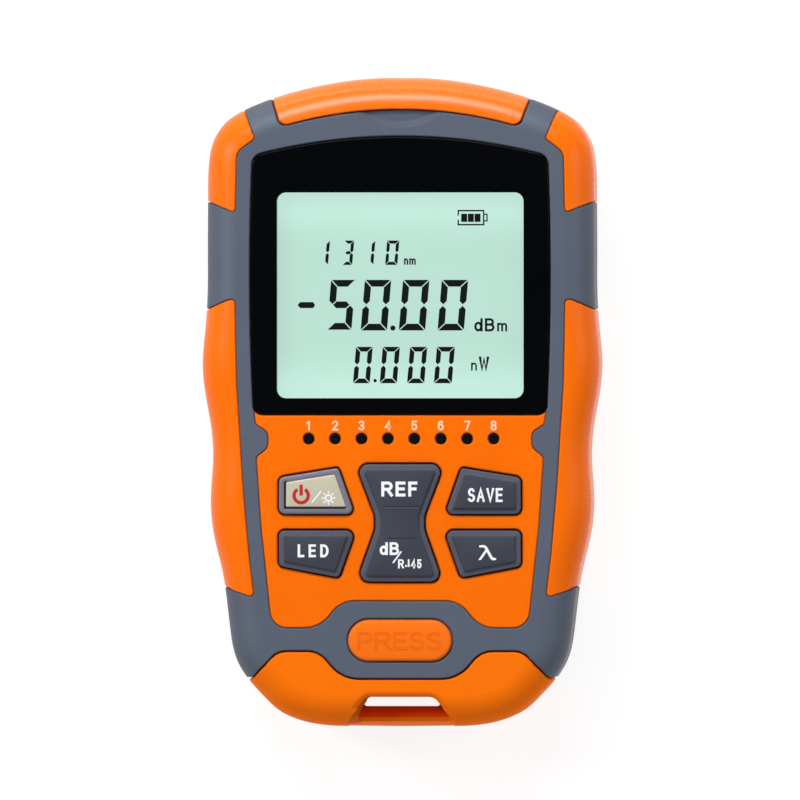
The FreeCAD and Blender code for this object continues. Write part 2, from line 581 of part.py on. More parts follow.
# ----------------------------------------------------------------- batteries
CELLS = []
for i, x in enumerate((-11.3, 0.0, 11.3)):
    y0 = -24.4 + (2.6 if i % 2 == 0 else 0.55)
    if i % 2 == 0:
        c = fuse(cyly(x, -22.1, -22.1 + 43.5, 7.65, 5.2), cyly(x, 21.3, 22.2, 7.65, 1.8))
    else:
        c = fuse(cyly(x, -23.9 - 0.0, -23.9 + 43.5, 7.65, 5.2), cyly(x, -24.9, -23.8, 7.65, 1.8))
    CELLS.append(c)
save("aaa_cells", Part.makeCompound(CELLS), "cell_wrap", 3)
con = [box(-16.4, -6.2, 22.25, 22.58, 3.6, 12.4), box(6.2, 16.4, 22.25, 22.58, 3.6, 12.4),
       box(-5.1, 5.1, -25.58, -24.95, 3.6, 12.4),
       box(-16.4, -6.2, -25.58, -25.2, 3.6, 12.4), box(6.2, 16.4, -25.58, -25.2, 3.6, 12.4),
       box(-5.1, 5.1, 22.2, 22.58, 3.6, 12.4)]
save("contact_plates", Part.makeCompound(con), "steel", 6)


def coily(cx, cz, y0, y1, r, wire, turns):
    s = coil(0, 0, 0, y1 - y0, r, wire, turns)
    s.rotate(V(0, 0, 0), V(1, 0, 0), -90)
    s.translate(V(cx, y0, cz))
    return s


cs = [coily(-11.3, 7.65, -25.15, -22.15, 2.6, 0.3, 3), coily(11.3, 7.65, -25.15, -22.15, 2.6, 0.3, 3),
      coily(0.0, 7.65, 19.65, 22.15, 2.6, 0.3, 3)]
save("contact_springs", Part.makeCompound(cs), "steel", 3)
door = plate([(-18.25, -26.85, 1.5), (18.25, -26.85, 1.5), (18.25, 23.85, 1.5), (-18.25, 23.85, 1.5)], 0.3, 2.2)
for i in range(5):
    door = door.cut(box(-6, 6, 14.0 + 1.5 * i, 14.7 + 1.5 * i, 0, 0.7))
save("battery_door", door, "abs_black", 1)

# case screws
scr = []
for (x, y) in SCREWS:
    h = cyl(x, y, 1.5, 3.85, 2.3)
    h = h.cut(box(x - 1.4, x + 1.4, y - 0.3, y + 0.3, 1.0, 2.3)).cut(box(x - 0.3, x + 0.3, y - 1.4, y + 1.4, 1.0, 2.3))
    scr.append(fuse(h, cyl(x, y, 3.8, 21.4, 1.25)))
save("case_screws", Part.makeCompound(scr), "steel", 4)

# =============================================================== remote unit
rem = B0.common(remote_zone(0.1, -2, 40))
# lanyard slot and its scoop
SL0, SL1 = gy(707.4), gy(697.2)
slot = plate([(-7.5, SL0, 0.5), (7.0, SL0, 0.5), (7.0, SL1, 0.7), (-7.5, SL1, 0.7)], 7.5, 12.5)
SCOOP = [(-6.4, SL1, 2.2), (-10.2, gy(722.3), 0), (-10.8, -70, 0), (10.8, -70, 0), (10.2, gy(722.3), 0), (6.4, SL1, 2.2)]
scoop_f = plate(SCOOP, 12.0, 40)
scoop_r = plate(SCOOP, -2, 8.0)
rem = cut(rem, slot, scoop_f, scoop_r)
bar = Part.Face(Part.makePolygon([V(-12.2, SL0, 9.0), V(-12.2, SL0, 16.2), V(-12.2, SL0 - 0.5, 17.0),
                                  V(-12.2, gy(718), 19.6), V(-12.2, gy(722), 19.2), V(-12.2, gy(725.6), 16.2),
                                  V(-12.2, gy(727.0), 12.0), V(-12.2, gy(725.6), 8.0), V(-12.2, gy(720), 6.4),
                                  V(-12.2, SL0 - 0.5, 7.2), V(-12.2, SL0, 9.0)])).extrude(V(24.4, 0, 0))
bar = bar.common(B0)
bar = bar.common(plate([(-9.3, SL0 + 0.02, 0), (-10.9, gy(724.0), 0), (-11.3, -70, 0), (11.3, -70, 0), (10.9, gy(724.0), 0), (9.3, SL0 + 0.02, 0)], -2, 40))
rem = rem.fuse(bar)
rem = rem.cut(slot)
rcav = body(2.2).common(remote_zone(2.2, -2, 40))
rcav = rcav.cut(box(-12.6, 12.6, -70, -54.1, -2, 40))
rfront = rem.common(FRONT).cut(rcav)
rrear = rem.common(REAR).cut(rcav)
# tongue that reaches into the main unit
ton = box(-TX, TX, -54.0, TY, TZ0, TZ1).cut(box(-TX + 1.4, TX - 1.4, -60, TY - 0.0, TZ0 + 1.4, TZ1 - 1.4))
tr = ton.common(box(-40, 40, -54.0, 0, 0, ZP))
tf = ton.common(box(-40, 40, -54.0, 0, ZP, 40))
chan = box(-2.6, 2.6, -47.6, 0, TZ1 - 1.5, 40)
hook = fuse(box(-3.6, -2.3, -47.0, -45.0, TZ1 - 1.5, 40), box(2.3, 3.6, -47.0, -45.0, TZ1 - 1.5, 40))
rfront = rfront.fuse(tf).cut(chan).cut(hook)
rrear = rrear.fuse(tr)
open_in = box(-TX + 1.4, TX - 1.4, -53.9, TY + 1, TZ0 + 1.4, TZ1 - 1.4)
rfront = rfront.cut(open_in)
rrear = rrear.cut(open_in)
RSCREWS = [(-22.6, -50.2), (22.6, -50.2)]
rzone = remote_zone(0.1, -2, 40)
for (x, y) in RSCREWS:
    rfront = rfront.fuse(cyl(x, y, ZP + 0.05, 25.0, 2.3).common(B0).common(rzone)).cut(cyl(x, y, ZP - 1, 21.0, 1.0))
    rrear = rrear.fuse(cyl(x, y, 2.0, ZP - 0.05, 2.7).common(B0).common(rzone)).cut(cyl(x, y, -1, 3.6, 2.1)).cut(cyl(x, y, 3, ZP + 1, 1.15))
# the remote unit's back sits just clear of the rest plane
rrear = rrear.cut(box(-60, 60, -80, -30, -2, 0.4))
save("remote_front_shell", rfront, "abs_orange", 1)
save("remote_rear_shell", rrear, "abs_orange", 1)
rrj = jack(0.0, -49.6, TY - 0.3, TZ0 + 1.45, 14.4, 7.1, 13.8, 12.0, 1)
save("remote_jack", rrj, "abs_black", 1)
save("remote_contacts", Part.makeCompound(contacts(0.0, TY - 0.3, 12.0, 13.8, 1)), "gold", 8, 0.01)
rp = box(-13.6, 13.6, -51.3, -49.7, 5.4, 14.8)
save("remote_pcb", rp, "pcb_green", 1)
rs = []
for (x, y) in RSCREWS:
    h = cyl(x, y, 1.5, 3.55, 1.9)
    h = h.cut(box(x - 1.1, x + 1.1, y - 0.25, y + 0.25, 1.0, 2.1)).cut(box(x - 0.25, x + 0.25, y - 1.1, y + 1.1, 1.0, 2.1))
    rs.append(fuse(h, cyl(x, y, 3.5, 20.4, 1.0)))
save("remote_screws", Part.makeCompound(rs), "steel", 2)
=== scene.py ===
import bpy
import math
import numpy as np
from mathutils import Matrix, Vector
from mathutils.geometry import delaunay_2d_cdt


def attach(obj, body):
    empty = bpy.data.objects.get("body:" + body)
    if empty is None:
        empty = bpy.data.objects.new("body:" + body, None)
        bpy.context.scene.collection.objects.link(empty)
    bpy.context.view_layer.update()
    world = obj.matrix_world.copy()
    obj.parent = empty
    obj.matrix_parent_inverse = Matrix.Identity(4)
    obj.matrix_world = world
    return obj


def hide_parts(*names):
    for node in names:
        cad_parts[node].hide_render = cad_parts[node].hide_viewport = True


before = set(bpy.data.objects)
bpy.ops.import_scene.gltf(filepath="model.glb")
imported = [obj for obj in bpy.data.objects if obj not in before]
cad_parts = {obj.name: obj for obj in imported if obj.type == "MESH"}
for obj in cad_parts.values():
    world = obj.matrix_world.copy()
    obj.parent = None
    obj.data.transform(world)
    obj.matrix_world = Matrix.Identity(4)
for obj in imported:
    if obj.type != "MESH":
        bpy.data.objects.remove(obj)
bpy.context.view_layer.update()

MM = 0.001
U, CX, CY = 0.19, 399.9, 402.4


def gx(u, c=CX):
    return (u - c) * U


def gy(v):
    return (CY - v) * U


# right half of the case outline, head to foot, even steps, in mm
_HALF = np.array([float(t) for t in """
0.000 61.731  0.730 61.750  1.460 61.759  2.190 61.759  2.920 61.750  3.650 61.733  4.380 61.706  5.109 61.671
5.838 61.627  6.567 61.574  7.294 61.514  8.021 61.445  8.747 61.368  9.472 61.282  10.197 61.190
10.920 61.089  11.642 60.981  12.363 60.865  13.083 60.742  13.801 60.613  14.519 60.477  15.235 60.334
15.950 60.186  16.664 60.032  17.376 59.872  18.087 59.707  18.797 59.535  19.505 59.357  20.212 59.172
20.916 58.978  21.617 58.776  22.316 58.565  23.012 58.345  23.706 58.116  24.396 57.879  25.084 57.634
25.769 57.380  26.451 57.119  27.130 56.851  27.805 56.573  28.476 56.285  29.142 55.984  29.800 55.669
30.452 55.339  31.093 54.990  31.720 54.616  32.325 54.208  32.903 53.761  33.445 53.272  33.945 52.741
34.401 52.171  34.817 51.570  35.193 50.945  35.528 50.296  35.816 49.625  36.053 48.935  36.242 48.230
36.390 47.515  36.505 46.794  36.593 46.069  36.662 45.342  36.715 44.614  36.756 43.885  36.786 43.155
36.806 42.425  36.818 41.695  36.824 40.965  36.825 40.235  36.824 39.505  36.823 38.774  36.822 38.044
36.822 37.314  36.825 36.584  36.828 35.854  36.832 35.123  36.836 34.393  36.841 33.663  36.846 32.933
36.850 32.203  36.854 31.473  36.857 30.742  36.859 30.012  36.860 29.282  36.859 28.552  36.857 27.822
36.854 27.091  36.851 26.361  36.849 25.631  36.847 24.901  36.848 24.171  36.851 23.441  36.857 22.710
36.866 21.980  36.880 21.250  36.899 20.520  36.923 19.791  36.953 19.061  36.990 18.332  37.033 17.603
37.082 16.874  37.136 16.146  37.197 15.418  37.262 14.691  37.333 13.964  37.408 13.238  37.486 12.512
37.564 11.786  37.638 11.060  37.706 10.333  37.764 9.605  37.810 8.876  37.839 8.146  37.849 7.416
37.839 6.686  37.810 5.957  37.763 5.228  37.701 4.501  37.623 3.774  37.533 3.050  37.430 2.327  37.318 1.606
37.196 0.886  37.068 0.167  36.936 -0.551  36.802 -1.269  36.669 -1.987  36.540 -2.706  36.417 -3.426
36.302 -4.147  36.198 -4.870  36.107 -5.594  36.028 -6.320  35.963 -7.047  35.912 -7.776  35.875 -8.505
35.853 -9.235  35.847 -9.965  35.856 -10.695  35.880 -11.425  35.918 -12.154  35.964 -12.883  36.017 -13.611
36.072 -14.339  36.128 -15.067  36.180 -15.795  36.226 -16.524  36.263 -17.253  36.288 -17.983  36.299 -18.713
36.295 -19.443  36.274 -20.173  36.236 -20.902  36.181 -21.631  36.110 -22.357  36.023 -23.082  35.920 -23.805
35.803 -24.526  35.672 -25.244  35.527 -25.960  35.369 -26.673  35.202 -27.384  35.028 -28.093  34.851 -28.801
34.673 -29.509  34.498 -30.218  34.329 -30.928  34.168 -31.641  34.018 -32.355  33.881 -33.072  33.754 -33.792
33.636 -34.512  33.527 -35.234  33.425 -35.957  33.329 -36.681  33.237 -37.405  33.149 -38.130  33.064 -38.855
32.980 -39.581  32.897 -40.306  32.814 -41.032  32.729 -41.757  32.643 -42.482  32.554 -43.207  32.462 -43.931
32.364 -44.655  32.255 -45.377  32.128 -46.096  31.977 -46.810  31.794 -47.517  31.576 -48.214  31.324 -48.899
31.034 -49.569  30.707 -50.222  30.343 -50.855  29.947 -51.468  29.524 -52.064  29.080 -52.643  28.619 -53.209
28.144 -53.764  27.658 -54.309  27.164 -54.847  26.664 -55.379  26.161 -55.908  25.656 -56.435  25.147 -56.958
24.624 -57.468  24.081 -57.956  23.510 -58.411  22.907 -58.823  22.278 -59.193  21.628 -59.525  20.961 -59.823
20.282 -60.092  19.594 -60.335  18.897 -60.552  18.192 -60.745  17.482 -60.914  16.767 -61.060  16.047 -61.185
15.325 -61.290  14.600 -61.375  13.873 -61.444  13.144 -61.498  12.415 -61.539  11.686 -61.571  10.956 -61.593
10.226 -61.610  9.496 -61.623  8.766 -61.633  8.036 -61.643  7.306 -61.654  6.576 -61.665  5.846 -61.676
5.115 -61.687  4.385 -61.697  3.655 -61.706  2.925 -61.714  2.195 -61.721  1.465 -61.727  0.735 -61.730
0.004 -61.731
""".split()]).reshape(-1, 2)
OUT = np.concatenate([_HALF, (_HALF[1:-1] * [-1, 1])[::-1]])
NOUT = len(OUT)
_t = np.roll(OUT, -1, 0) - np.roll(OUT, 1, 0)
_t /= np.linalg.norm(_t, axis=1)[:, None]
OUTN = np.stack([-_t[:, 1], _t[:, 0]], 1)
for _k in range(2):
    OUTN = OUTN * 0.5 + 0.25 * (np.roll(OUTN, 1, 0) + np.roll(OUTN, -1, 0))
OUTN /= np.linalg.norm(OUTN, axis=1)[:, None]
_SEG = np.roll(OUT, -1, 0) - OUT
_SEGL2 = (_SEG ** 2).sum(1)


def nearest(P):
    """For points in plan: outline parameter, signed depth (inside positive), foot point, outward normal."""
    P = np.asarray(P, float)
    n = len(P)
    s, d = np.zeros(n), np.zeros(n)
    F, N = np.zeros((n, 2)), np.zeros((n, 2))
    for a in range(0, n, 2000):
        Q = P[a:a + 2000]
        w = Q[:, None, :] - OUT[None]
        t = np.clip((w * _SEG[None]).sum(2) / _SEGL2[None], 0, 1)
        f = OUT[None] + t[:, :, None] * _SEG[None]
        dd = ((Q[:, None, :] - f) ** 2).sum(2)
        k = dd.argmin(1)
        r = np.arange(len(Q))
        tk = t[r, k]
        nn = OUTN[k] * (1 - tk)[:, None] + OUTN[(k + 1) % NOUT] * tk[:, None]
        nn /= np.linalg.norm(nn, axis=1)[:, None]
        ft = f[r, k]
        s[a:a + 2000] = k + tk
        dist = np.sqrt(dd[r, k])
        side = ((Q - ft) * nn).sum(1)
        d[a:a + 2000] = np.where(side > 0, -dist, dist)
        F[a:a + 2000] = ft
        N[a:a + 2000] = nn
    return s, d, F, N


def at_s(s):
    s = np.asarray(s, float) % NOUT
    k = np.floor(s).astype(int) % NOUT
    t = (s - np.floor(s))[:, None]
    P = OUT[k] * (1 - t) + OUT[(k + 1) % NOUT] * t
    N = OUTN[k] * (1 - t) + OUTN[(k + 1) % NOUT] * t
    return P, N / np.linalg.norm(N, axis=1)[:, None]


class Roll:
    """The case surface unrolled: flat face, rounded edge of radius r1, wall, rounded edge of radius r2.
    up is +1 for the half that faces +Z and -1 for the back."""

    def __init__(self, up):
        self.up = up
        self.r1, self.r2 = (6.2, 5.0) if up > 0 else (5.0, 6.2)
        self.q1 = self.r1 * math.pi / 2
        self.wall = 27.0 - 6.2 - 5.0
        self.q2 = self.q1 + self.wall

    def q_of_z(self, z):
        z = z if self.up > 0 else 27.0 - z
        if z > 27.0 - self.r1:
            return self.r1 * math.acos((z - (27.0 - self.r1)) / self.r1)
        if z >= self.r2:
            return self.q1 + (27.0 - self.r1 - z)
        return self.q2 + self.r2 * math.asin((self.r2 - z) / self.r2)

    def fold(self, D):
        """Unrolled points to position and normal."""
        D = np.asarray(D, float)
        s, d, F, N = nearest(D)
        q = self.r1 - d
        pos, nor = np.zeros((len(D), 3)), np.zeros((len(D), 3))
        r1, r2 = self.r1, self.r2
        m = q <= 0
        pos[m, :2], pos[m, 2], nor[m, 2] = D[m], 27.0, 1.0
        m = (q > 0) & (q <= self.q1)
        a = q[m] / r1
        pos[m, :2] = F[m] - N[m] * (r1 * (1 - np.sin(a)))[:, None]
        pos[m, 2] = 27.0 - r1 + r1 * np.cos(a)
        nor[m, :2], nor[m, 2] = N[m] * np.sin(a)[:, None], np.cos(a)
        m = (q > self.q1) & (q <= self.q2)
        pos[m, :2], pos[m, 2], nor[m, :2] = F[m], 27.0 - r1 - (q[m] - self.q1), N[m]
        m = q > self.q2
        a = (q[m] - self.q2) / r2
        pos[m, :2] = F[m] - N[m] * (r2 * (1 - np.cos(a)))[:, None]
        pos[m, 2] = r2 - r2 * np.sin(a)
        nor[m, :2], nor[m, 2] = N[m] * np.cos(a)[:, None], -np.sin(a)
        if self.up < 0:
            pos[:, 2] = 27.0 - pos[:, 2]
            nor[:, 2] = -nor[:, 2]
        return pos, nor

    def ring(self, q, n=NOUT):
        s = np.arange(n) * NOUT / n
        P, N = at_s(s)
        return P + N * (q - self.r1)

    def unroll(self, P, q_end):
        """Dense closed plan polyline to an unrolled polyline; where it leaves the outline it goes down the wall past q_end."""
        P = np.asarray(P, float)
        s, d, F, N = nearest(P)
        if (d >= 0).all():
            m = d < self.r1
            Q = P.copy()
            q = self.r1 * np.arcsin(np.clip((self.r1 - d[m]) / self.r1, 0, 1))
            Q[m] = F[m] + N[m] * (q - self.r1)[:, None]
            return Q
        n = len(P)
        inside = d >= 0
        start = [i for i in range(n) if inside[i] and not inside[i - 1]][0]
        idx = [(start + i) % n for i in range(n)]
        runs, cur = [], []
        for i in idx:
            if inside[i]:
                cur.append(i)
            elif cur:
                runs.append(cur)
                cur = []
        if cur:
            runs.append(cur)
        out = []
        for k, run in enumerate(runs):
            run = np.array(run)
            q = np.where(d[run] < self.r1, self.r1 * np.arcsin(np.clip((self.r1 - d[run]) / self.r1, 0, 1)), 0)
            Q = np.where((d[run] < self.r1)[:, None], F[run] + N[run] * (q - self.r1)[:, None], P[run])
            sa, sb = s[run[0]], s[run[-1]]

            def down(si):
                qs = np.arange(self.q1, q_end + 1.5, 0.25)
                Pp, Nn = at_s(np.array([si]))
                return Pp + Nn * (qs - self.r1)[:, None]
            out.append(down(sa)[::-1])
            out.append(Q)
            out.append(down(sb))
            nxt = runs[(k + 1) % len(runs)]
            sn = s[nxt[0]]
            ds = (sn - sb + NOUT / 2) % NOUT - NOUT / 2
            steps = max(2, int(abs(ds)))
            ss = sb + np.linspace(0, 1, steps)[1:-1] * ds
            if len(ss):
                Pp, Nn = at_s(ss)
                out.append(Pp + Nn * (q_end + 1.5 - self.r1))
        return np.concatenate(out)


# ------------------------------------------------------- plan outlines
def poly(path, step=0.05):
    """Corner list (x, y, r[, xm, ym]) to a dense closed polyline with rounded corners."""
    n = len(path)

    def circ(a, m, b):
        ax, ay, bx, by, cx, cy = a[0], a[1], m[0], m[1], b[0], b[1]
        dd = 2 * (ax * (by - cy) + bx * (cy - ay) + cx * (ay - by))
        ux = ((ax * ax + ay * ay) * (by - cy) + (bx * bx + by * by) * (cy - ay) + (cx * cx + cy * cy) * (ay - by)) / dd
        uy = ((ax * ax + ay * ay) * (cx - bx) + (bx * bx + by * by) * (ax - cx) + (cx * cx + cy * cy) * (bx - ax)) / dd
        return ux, uy, math.hypot(ax - ux, ay - uy)

    edges = []
    for i in range(n):
        a, b = np.array(path[i - 1][:2], float), np.array(path[i][:2], float)
        if len(path[i]) > 3:
            ux, uy, r = circ(a, path[i][3:5], b)
            t0, t1 = math.atan2(a[1] - uy, a[0] - ux), math.atan2(b[1] - uy, b[0] - ux)
            dt = (t1 - t0 + math.pi) % (2 * math.pi) - math.pi
            tm = math.atan2(path[i][4] - uy, path[i][3] - ux)
            dm = (tm - t0) % (2 * math.pi)
            if dt > 0 and dm > dt or dt < 0 and dm < dt % (2 * math.pi):
                dt = dt - 2 * math.pi * (1 if dt > 0 else -1)
            L = abs(dt) * r
            k = max(2, int(L / step))
            tt = t0 + dt * np.linspace(0, 1, k + 1)
            edges.append(np.stack([ux + r * np.cos(tt), uy + r * np.sin(tt)], 1))
        else:
            L = np.linalg.norm(b - a)
            k = max(2, int(L / step))
            edges.append(a + (b - a) * np.linspace(0, 1, k + 1)[:, None])
    cut_in, cut_out, arcs = [0.0] * n, [0.0] * n, [None] * n
    for i in range(n):
        r = path[i][2]
        if r <= 0:
            continue
        e0, e1 = edges[i], edges[(i + 1) % n]
        b = e0[-1]
        u, w = e0[-2] - b, e1[1] - b
        u, w = u / np.linalg.norm(u), w / np.linalg.norm(w)
        ang = math.acos(max(-1.0, min(1.0, float(u @ w))))
        if ang > math.pi - 0.01:
            continue
        l0 = np.linalg.norm(e0[0] - b)
        l1 = np.linalg.norm(e1[-1] - b)
        t = min(r / math.tan(ang / 2), 0.49 * l0, 0.49 * l1)
        r = t * math.tan(ang / 2)
        bis = (u + w) / np.linalg.norm(u + w)
        c = b + bis * (r / math.sin(ang / 2))
        pa, pb = b + u * t, b + w * t
        t0, t1 = math.atan2(*(pa - c)[::-1]), math.atan2(*(pb - c)[::-1])
        dt = (t1 - t0 + math.pi) % (2 * math.pi) - math.pi
        k = max(4, int(abs(dt) * r / step), int(abs(dt) / 0.12))
        tt = t0 + dt * np.linspace(0, 1, k + 1)
        arcs[i] = np.stack([c[0] + r * np.cos(tt), c[1] + r * np.sin(tt)], 1)
        cut_in[i] = cut_out[i] = t
    out = []
    for i in range(n):
        e = edges[i]
        a, b = e[0], e[-1]
        keep = (np.linalg.norm(e - a, axis=1) > cut_out[i - 1] + 1e-6) & (np.linalg.norm(e - b, axis=1) > cut_in[i] + 1e-6)
        if cut_out[i - 1] <= 0:
            keep[0] = True
        out.append(e[keep])
        if arcs[i] is not None:
            out.append(arcs[i])
    P = np.concatenate(out)
    keep = np.linalg.norm(P - np.roll(P, 1, 0), axis=1) > 1e-5
    return P[keep]


def thin(P, far=0.55, turn=0.16):
    """Drops points of a dense closed polyline that add nothing."""
    n = len(P)
    keep = [0]
    last_dir = P[1] - P[0]
    last_dir = last_dir / np.linalg.norm(last_dir)
    for i in range(1, n):
        v = P[i] - P[keep[-1]]
        L = math.hypot(v[0], v[1])
        if L < 1e-4:
            continue
        w = P[(i + 1) % n] - P[i]
        lw = math.hypot(w[0], w[1])
        w = w / lw if lw > 1e-9 else last_dir
        c = last_dir[0] * w[0] + last_dir[1] * w[1]
        if L > far or c < math.cos(turn):
            keep.append(i)
            last_dir = w
    return P[keep]


def area(P):
    x, y = P[:, 0], P[:, 1]
    return 0.5 * float((x * np.roll(y, -1) - y * np.roll(x, -1)).sum())


def inside(poly_, P, chunk=4000):
    """Even-odd test for many points."""
    P = np.asarray(P, float)
    x0, y0 = poly_[:, 0], poly_[:, 1]
    x1, y1 = np.roll(x0, -1), np.roll(y0, -1)
    out = np.zeros(len(P), bool)
    box = (P[:, 0] >= x0.min()) & (P[:, 0] <= x0.max()) & (P[:, 1] >= y0.min()) & (P[:, 1] <= y0.max())
    idx = np.nonzero(box)[0]
    for a in range(0, len(idx), chunk):
        k = idx[a:a + chunk]
        px, py = P[k, 0][:, None], P[k, 1][:, None]
        c = (y0[None] > py) != (y1[None] > py)
        with np.errstate(divide="ignore", invalid="ignore"):
            xi = x0[None] + (py - y0[None]) * (x1 - x0)[None] / (y1 - y0)[None]
        out[k] = ((c & (px < xi)).sum(1) % 2) == 1
    return out


def dist_to(P, Q, chunk=1500):
    """Distance of points P to the closed polyline Q."""
    seg = np.roll(Q, -1, 0) - Q
    l2 = np.maximum((seg ** 2).sum(1), 1e-12)
    out = np.zeros(len(P))
    for a in range(0, len(P), chunk):
        w = P[a:a + chunk, None, :] - Q[None]
        t = np.clip((w * seg[None]).sum(2) / l2[None], 0, 1)
        out[a:a + chunk] = np.sqrt(((w - t[:, :, None] * seg[None]) ** 2).sum(2).min(1))
    return out


def shift(P, e):
    """Closed polyline moved to its inside by e (outside if negative), loops removed."""
    sg = 1.0 if area(P) > 0 else -1.0
    t = np.roll(P, -1, 0) - np.roll(P, 1, 0)
    t /= np.maximum(np.linalg.norm(t, axis=1), 1e-9)[:, None]
    nrm = np.stack([-t[:, 1], t[:, 0]], 1) * sg
    Q = P + nrm * e
    ok = dist_to(Q, P) > abs(e) * 0.97
    return Q[ok]


# ------------------------------------------------------------ mesh building
class Bag:
    """Triangles with corner normals for one piece. Lengths in mm."""

    def __init__(self):
        self.V, self.F, self.N, self.M, self.n = [], [], [], [], 0

    def add(self, V, F, N, mat=0):
        V, F, N = np.asarray(V, float), np.asarray(F, int).reshape(-1, 3), np.asarray(N, float)
        if len(N) == len(V) and len(N) != len(F) * 3 or len(N) == len(V):
            N = N[F].reshape(-1, 3)
        self.V.append(V)
        self.F.append(F + self.n)
        self.N.append(N)
        self.M.append(np.full(len(F), mat))
        self.n += len(V)

    def flat(self, V, F, mat=0):
        """Faces (any size) with their own flat normals."""
        V = np.asarray(V, float)
        tri = []
        for f in F:
            for k in range(1, len(f) - 1):
                tri.append((f[0], f[k], f[k + 1]))
        tri = np.array(tri)
        nn = np.cross(V[tri[:, 1]] - V[tri[:, 0]], V[tri[:, 2]] - V[tri[:, 0]])
        nn /= np.maximum(np.linalg.norm(nn, axis=1), 1e-12)[:, None]
        W = V[tri].reshape(-1, 3)
        self.V.append(W)
        self.F.append(np.arange(len(W)).reshape(-1, 3) + self.n)
        self.N.append(np.repeat(nn, 3, 0))
        self.M.append(np.full(len(tri), mat))
        self.n += len(W)


def make(name, bag, mats, body, replaces=()):
    V, F, N, M = (np.concatenate(a) for a in (bag.V, bag.F, bag.N, bag.M))
    A = np.linalg.norm(np.cross(V[F[:, 1]] - V[F[:, 0]], V[F[:, 2]] - V[F[:, 0]]), axis=1)
    ok = A > 1e-9
    N = N.reshape(-1, 3, 3)[ok].reshape(-1, 3)
    F, M = F[ok], M[ok]
    me = bpy.data.meshes.new(name)
    me.vertices.add(len(V))
    me.vertices.foreach_set("co", (V * MM).astype(np.float32).ravel())
    me.loops.add(len(F) * 3)
    me.loops.foreach_set("vertex_index", F.astype(np.int32).ravel())
    me.polygons.add(len(F))
    me.polygons.foreach_set("loop_start", np.arange(0, len(F) * 3, 3, dtype=np.int32))
    me.polygons.foreach_set("material_index", M.astype(np.int32))
    me.update(calc_edges=True)
    me.polygons.foreach_set("use_smooth", np.ones(len(F), bool))
    N = N / np.maximum(np.linalg.norm(N, axis=1), 1e-9)[:, None]
    me.normals_split_custom_set(N.tolist())
    for m in mats:
        me.materials.append(m)
    o = bpy.data.objects.new(name, me)
    bpy.context.scene.collection.objects.link(o)
    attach(o, body)
    if replaces:
        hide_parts(*replaces)
    return o


def depth_of(P):
    """Depth below the case's outer surface, and the outward normal there."""
    s, d, F, N = nearest(P[:, :2])
    z = P[:, 2]
    dep, nor = d.copy(), np.zeros_like(P)
    nor[:, :2] = N
    for zc, r, up in ((20.8, 6.2, 1), (5.0, 5.0, -1)):
        m = (z - zc) * up > 0
        h = (z - zc) * up
        u = r - d
        roll = m & (d < r)
        L = np.hypot(u, h)
        dep[roll] = r - L[roll]
        nor[roll, :2] = N[roll] * (u[roll] / np.maximum(L[roll], 1e-9))[:, None]
        nor[roll, 2] = up * h[roll] / np.maximum(L[roll], 1e-9)
        fl = m & (d >= r)
        dep[fl] = r - h[fl]
        nor[fl, :2], nor[fl, 2] = 0, up
    return dep, nor


def core(bag, name, keep=None, to=0.55, mat=0, warp=None):
    """The CAD node's own mesh with its outermost skin set a little lower, to sit under a finer skin."""
    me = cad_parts[name].data
    me.calc_loop_triangles()
    co = np.zeros(len(me.vertices) * 3)
    me.vertices.foreach_get("co", co)
    co = co.reshape(-1, 3) / MM
    tri = np.zeros(len(me.loop_triangles) * 3, int)
    me.loop_triangles.foreach_get("vertices", tri)
    lt = np.zeros(len(me.loop_triangles) * 3, int)
    me.loop_triangles.foreach_get("loops", lt)
    cn = np.zeros(len(me.loops) * 3)
    me.corner_normals.foreach_get("vector", cn)
    cn = cn.reshape(-1, 3)[lt]
    dep, nor = depth_of(co)
    m = dep < 0.35
    if keep is not None:
        m &= ~keep(co)
    co[m] -= nor[m] * (to - dep[m])[:, None]
    if warp is not None:
        co = warp(co)
    bag.V.append(co)
    bag.F.append(tri.reshape(-1, 3) + bag.n)
    bag.N.append(cn)
    bag.M.append(np.full(len(tri) // 3, mat))
    bag.n += len(co)


EDGE = 0.32      # width of the rounded edge at a seam


def cdt(loops, extra):
    verts, edges = [], []
    for L in loops:
        b, n = len(verts), len(L)
        verts += [Vector((float(p[0]), float(p[1]))) for p in L]
        edges += [(b + i, b + (i + 1) % n) for i in range(n)]
    kd = {}
    for v in verts:
        kd.setdefault((int(v[0] // 0.3), int(v[1] // 0.3)), []).append(v)
    for p in extra:
        i, j = int(p[0] // 0.3), int(p[1] // 0.3)
        near = False
        for a in (-1, 0, 1):
            for b in (-1, 0, 1):
                for v in kd.get((i + a, j + b), ()):
                    if (v[0] - p[0]) ** 2 + (v[1] - p[1]) ** 2 < 0.0625:
                        near = True
        if not near:
            verts.append(Vector((float(p[0]), float(p[1]))))
    r = delaunay_2d_cdt(verts, edges, [], 0, 1e-5, False)
    D = np.array([(v[0], v[1]) for v in r[0]])
    T = np.array([f for f in r[2] if len(f) == 3])
    a = D[T]
    sgn = (a[:, 1, 0] - a[:, 0, 0]) * (a[:, 2, 1] - a[:, 0, 1]) - (a[:, 1, 1] - a[:, 0, 1]) * (a[:, 2, 0] - a[:, 0, 0])
    T[sgn < 0] = T[sgn < 0][:, ::-1]
    return D, T[np.abs(sgn) > 1e-9]


def seams(L, e=EDGE, both=True):
    out = [L, shift(L, e)]
    if both:
        out.append(shift(L, -e))
    return out


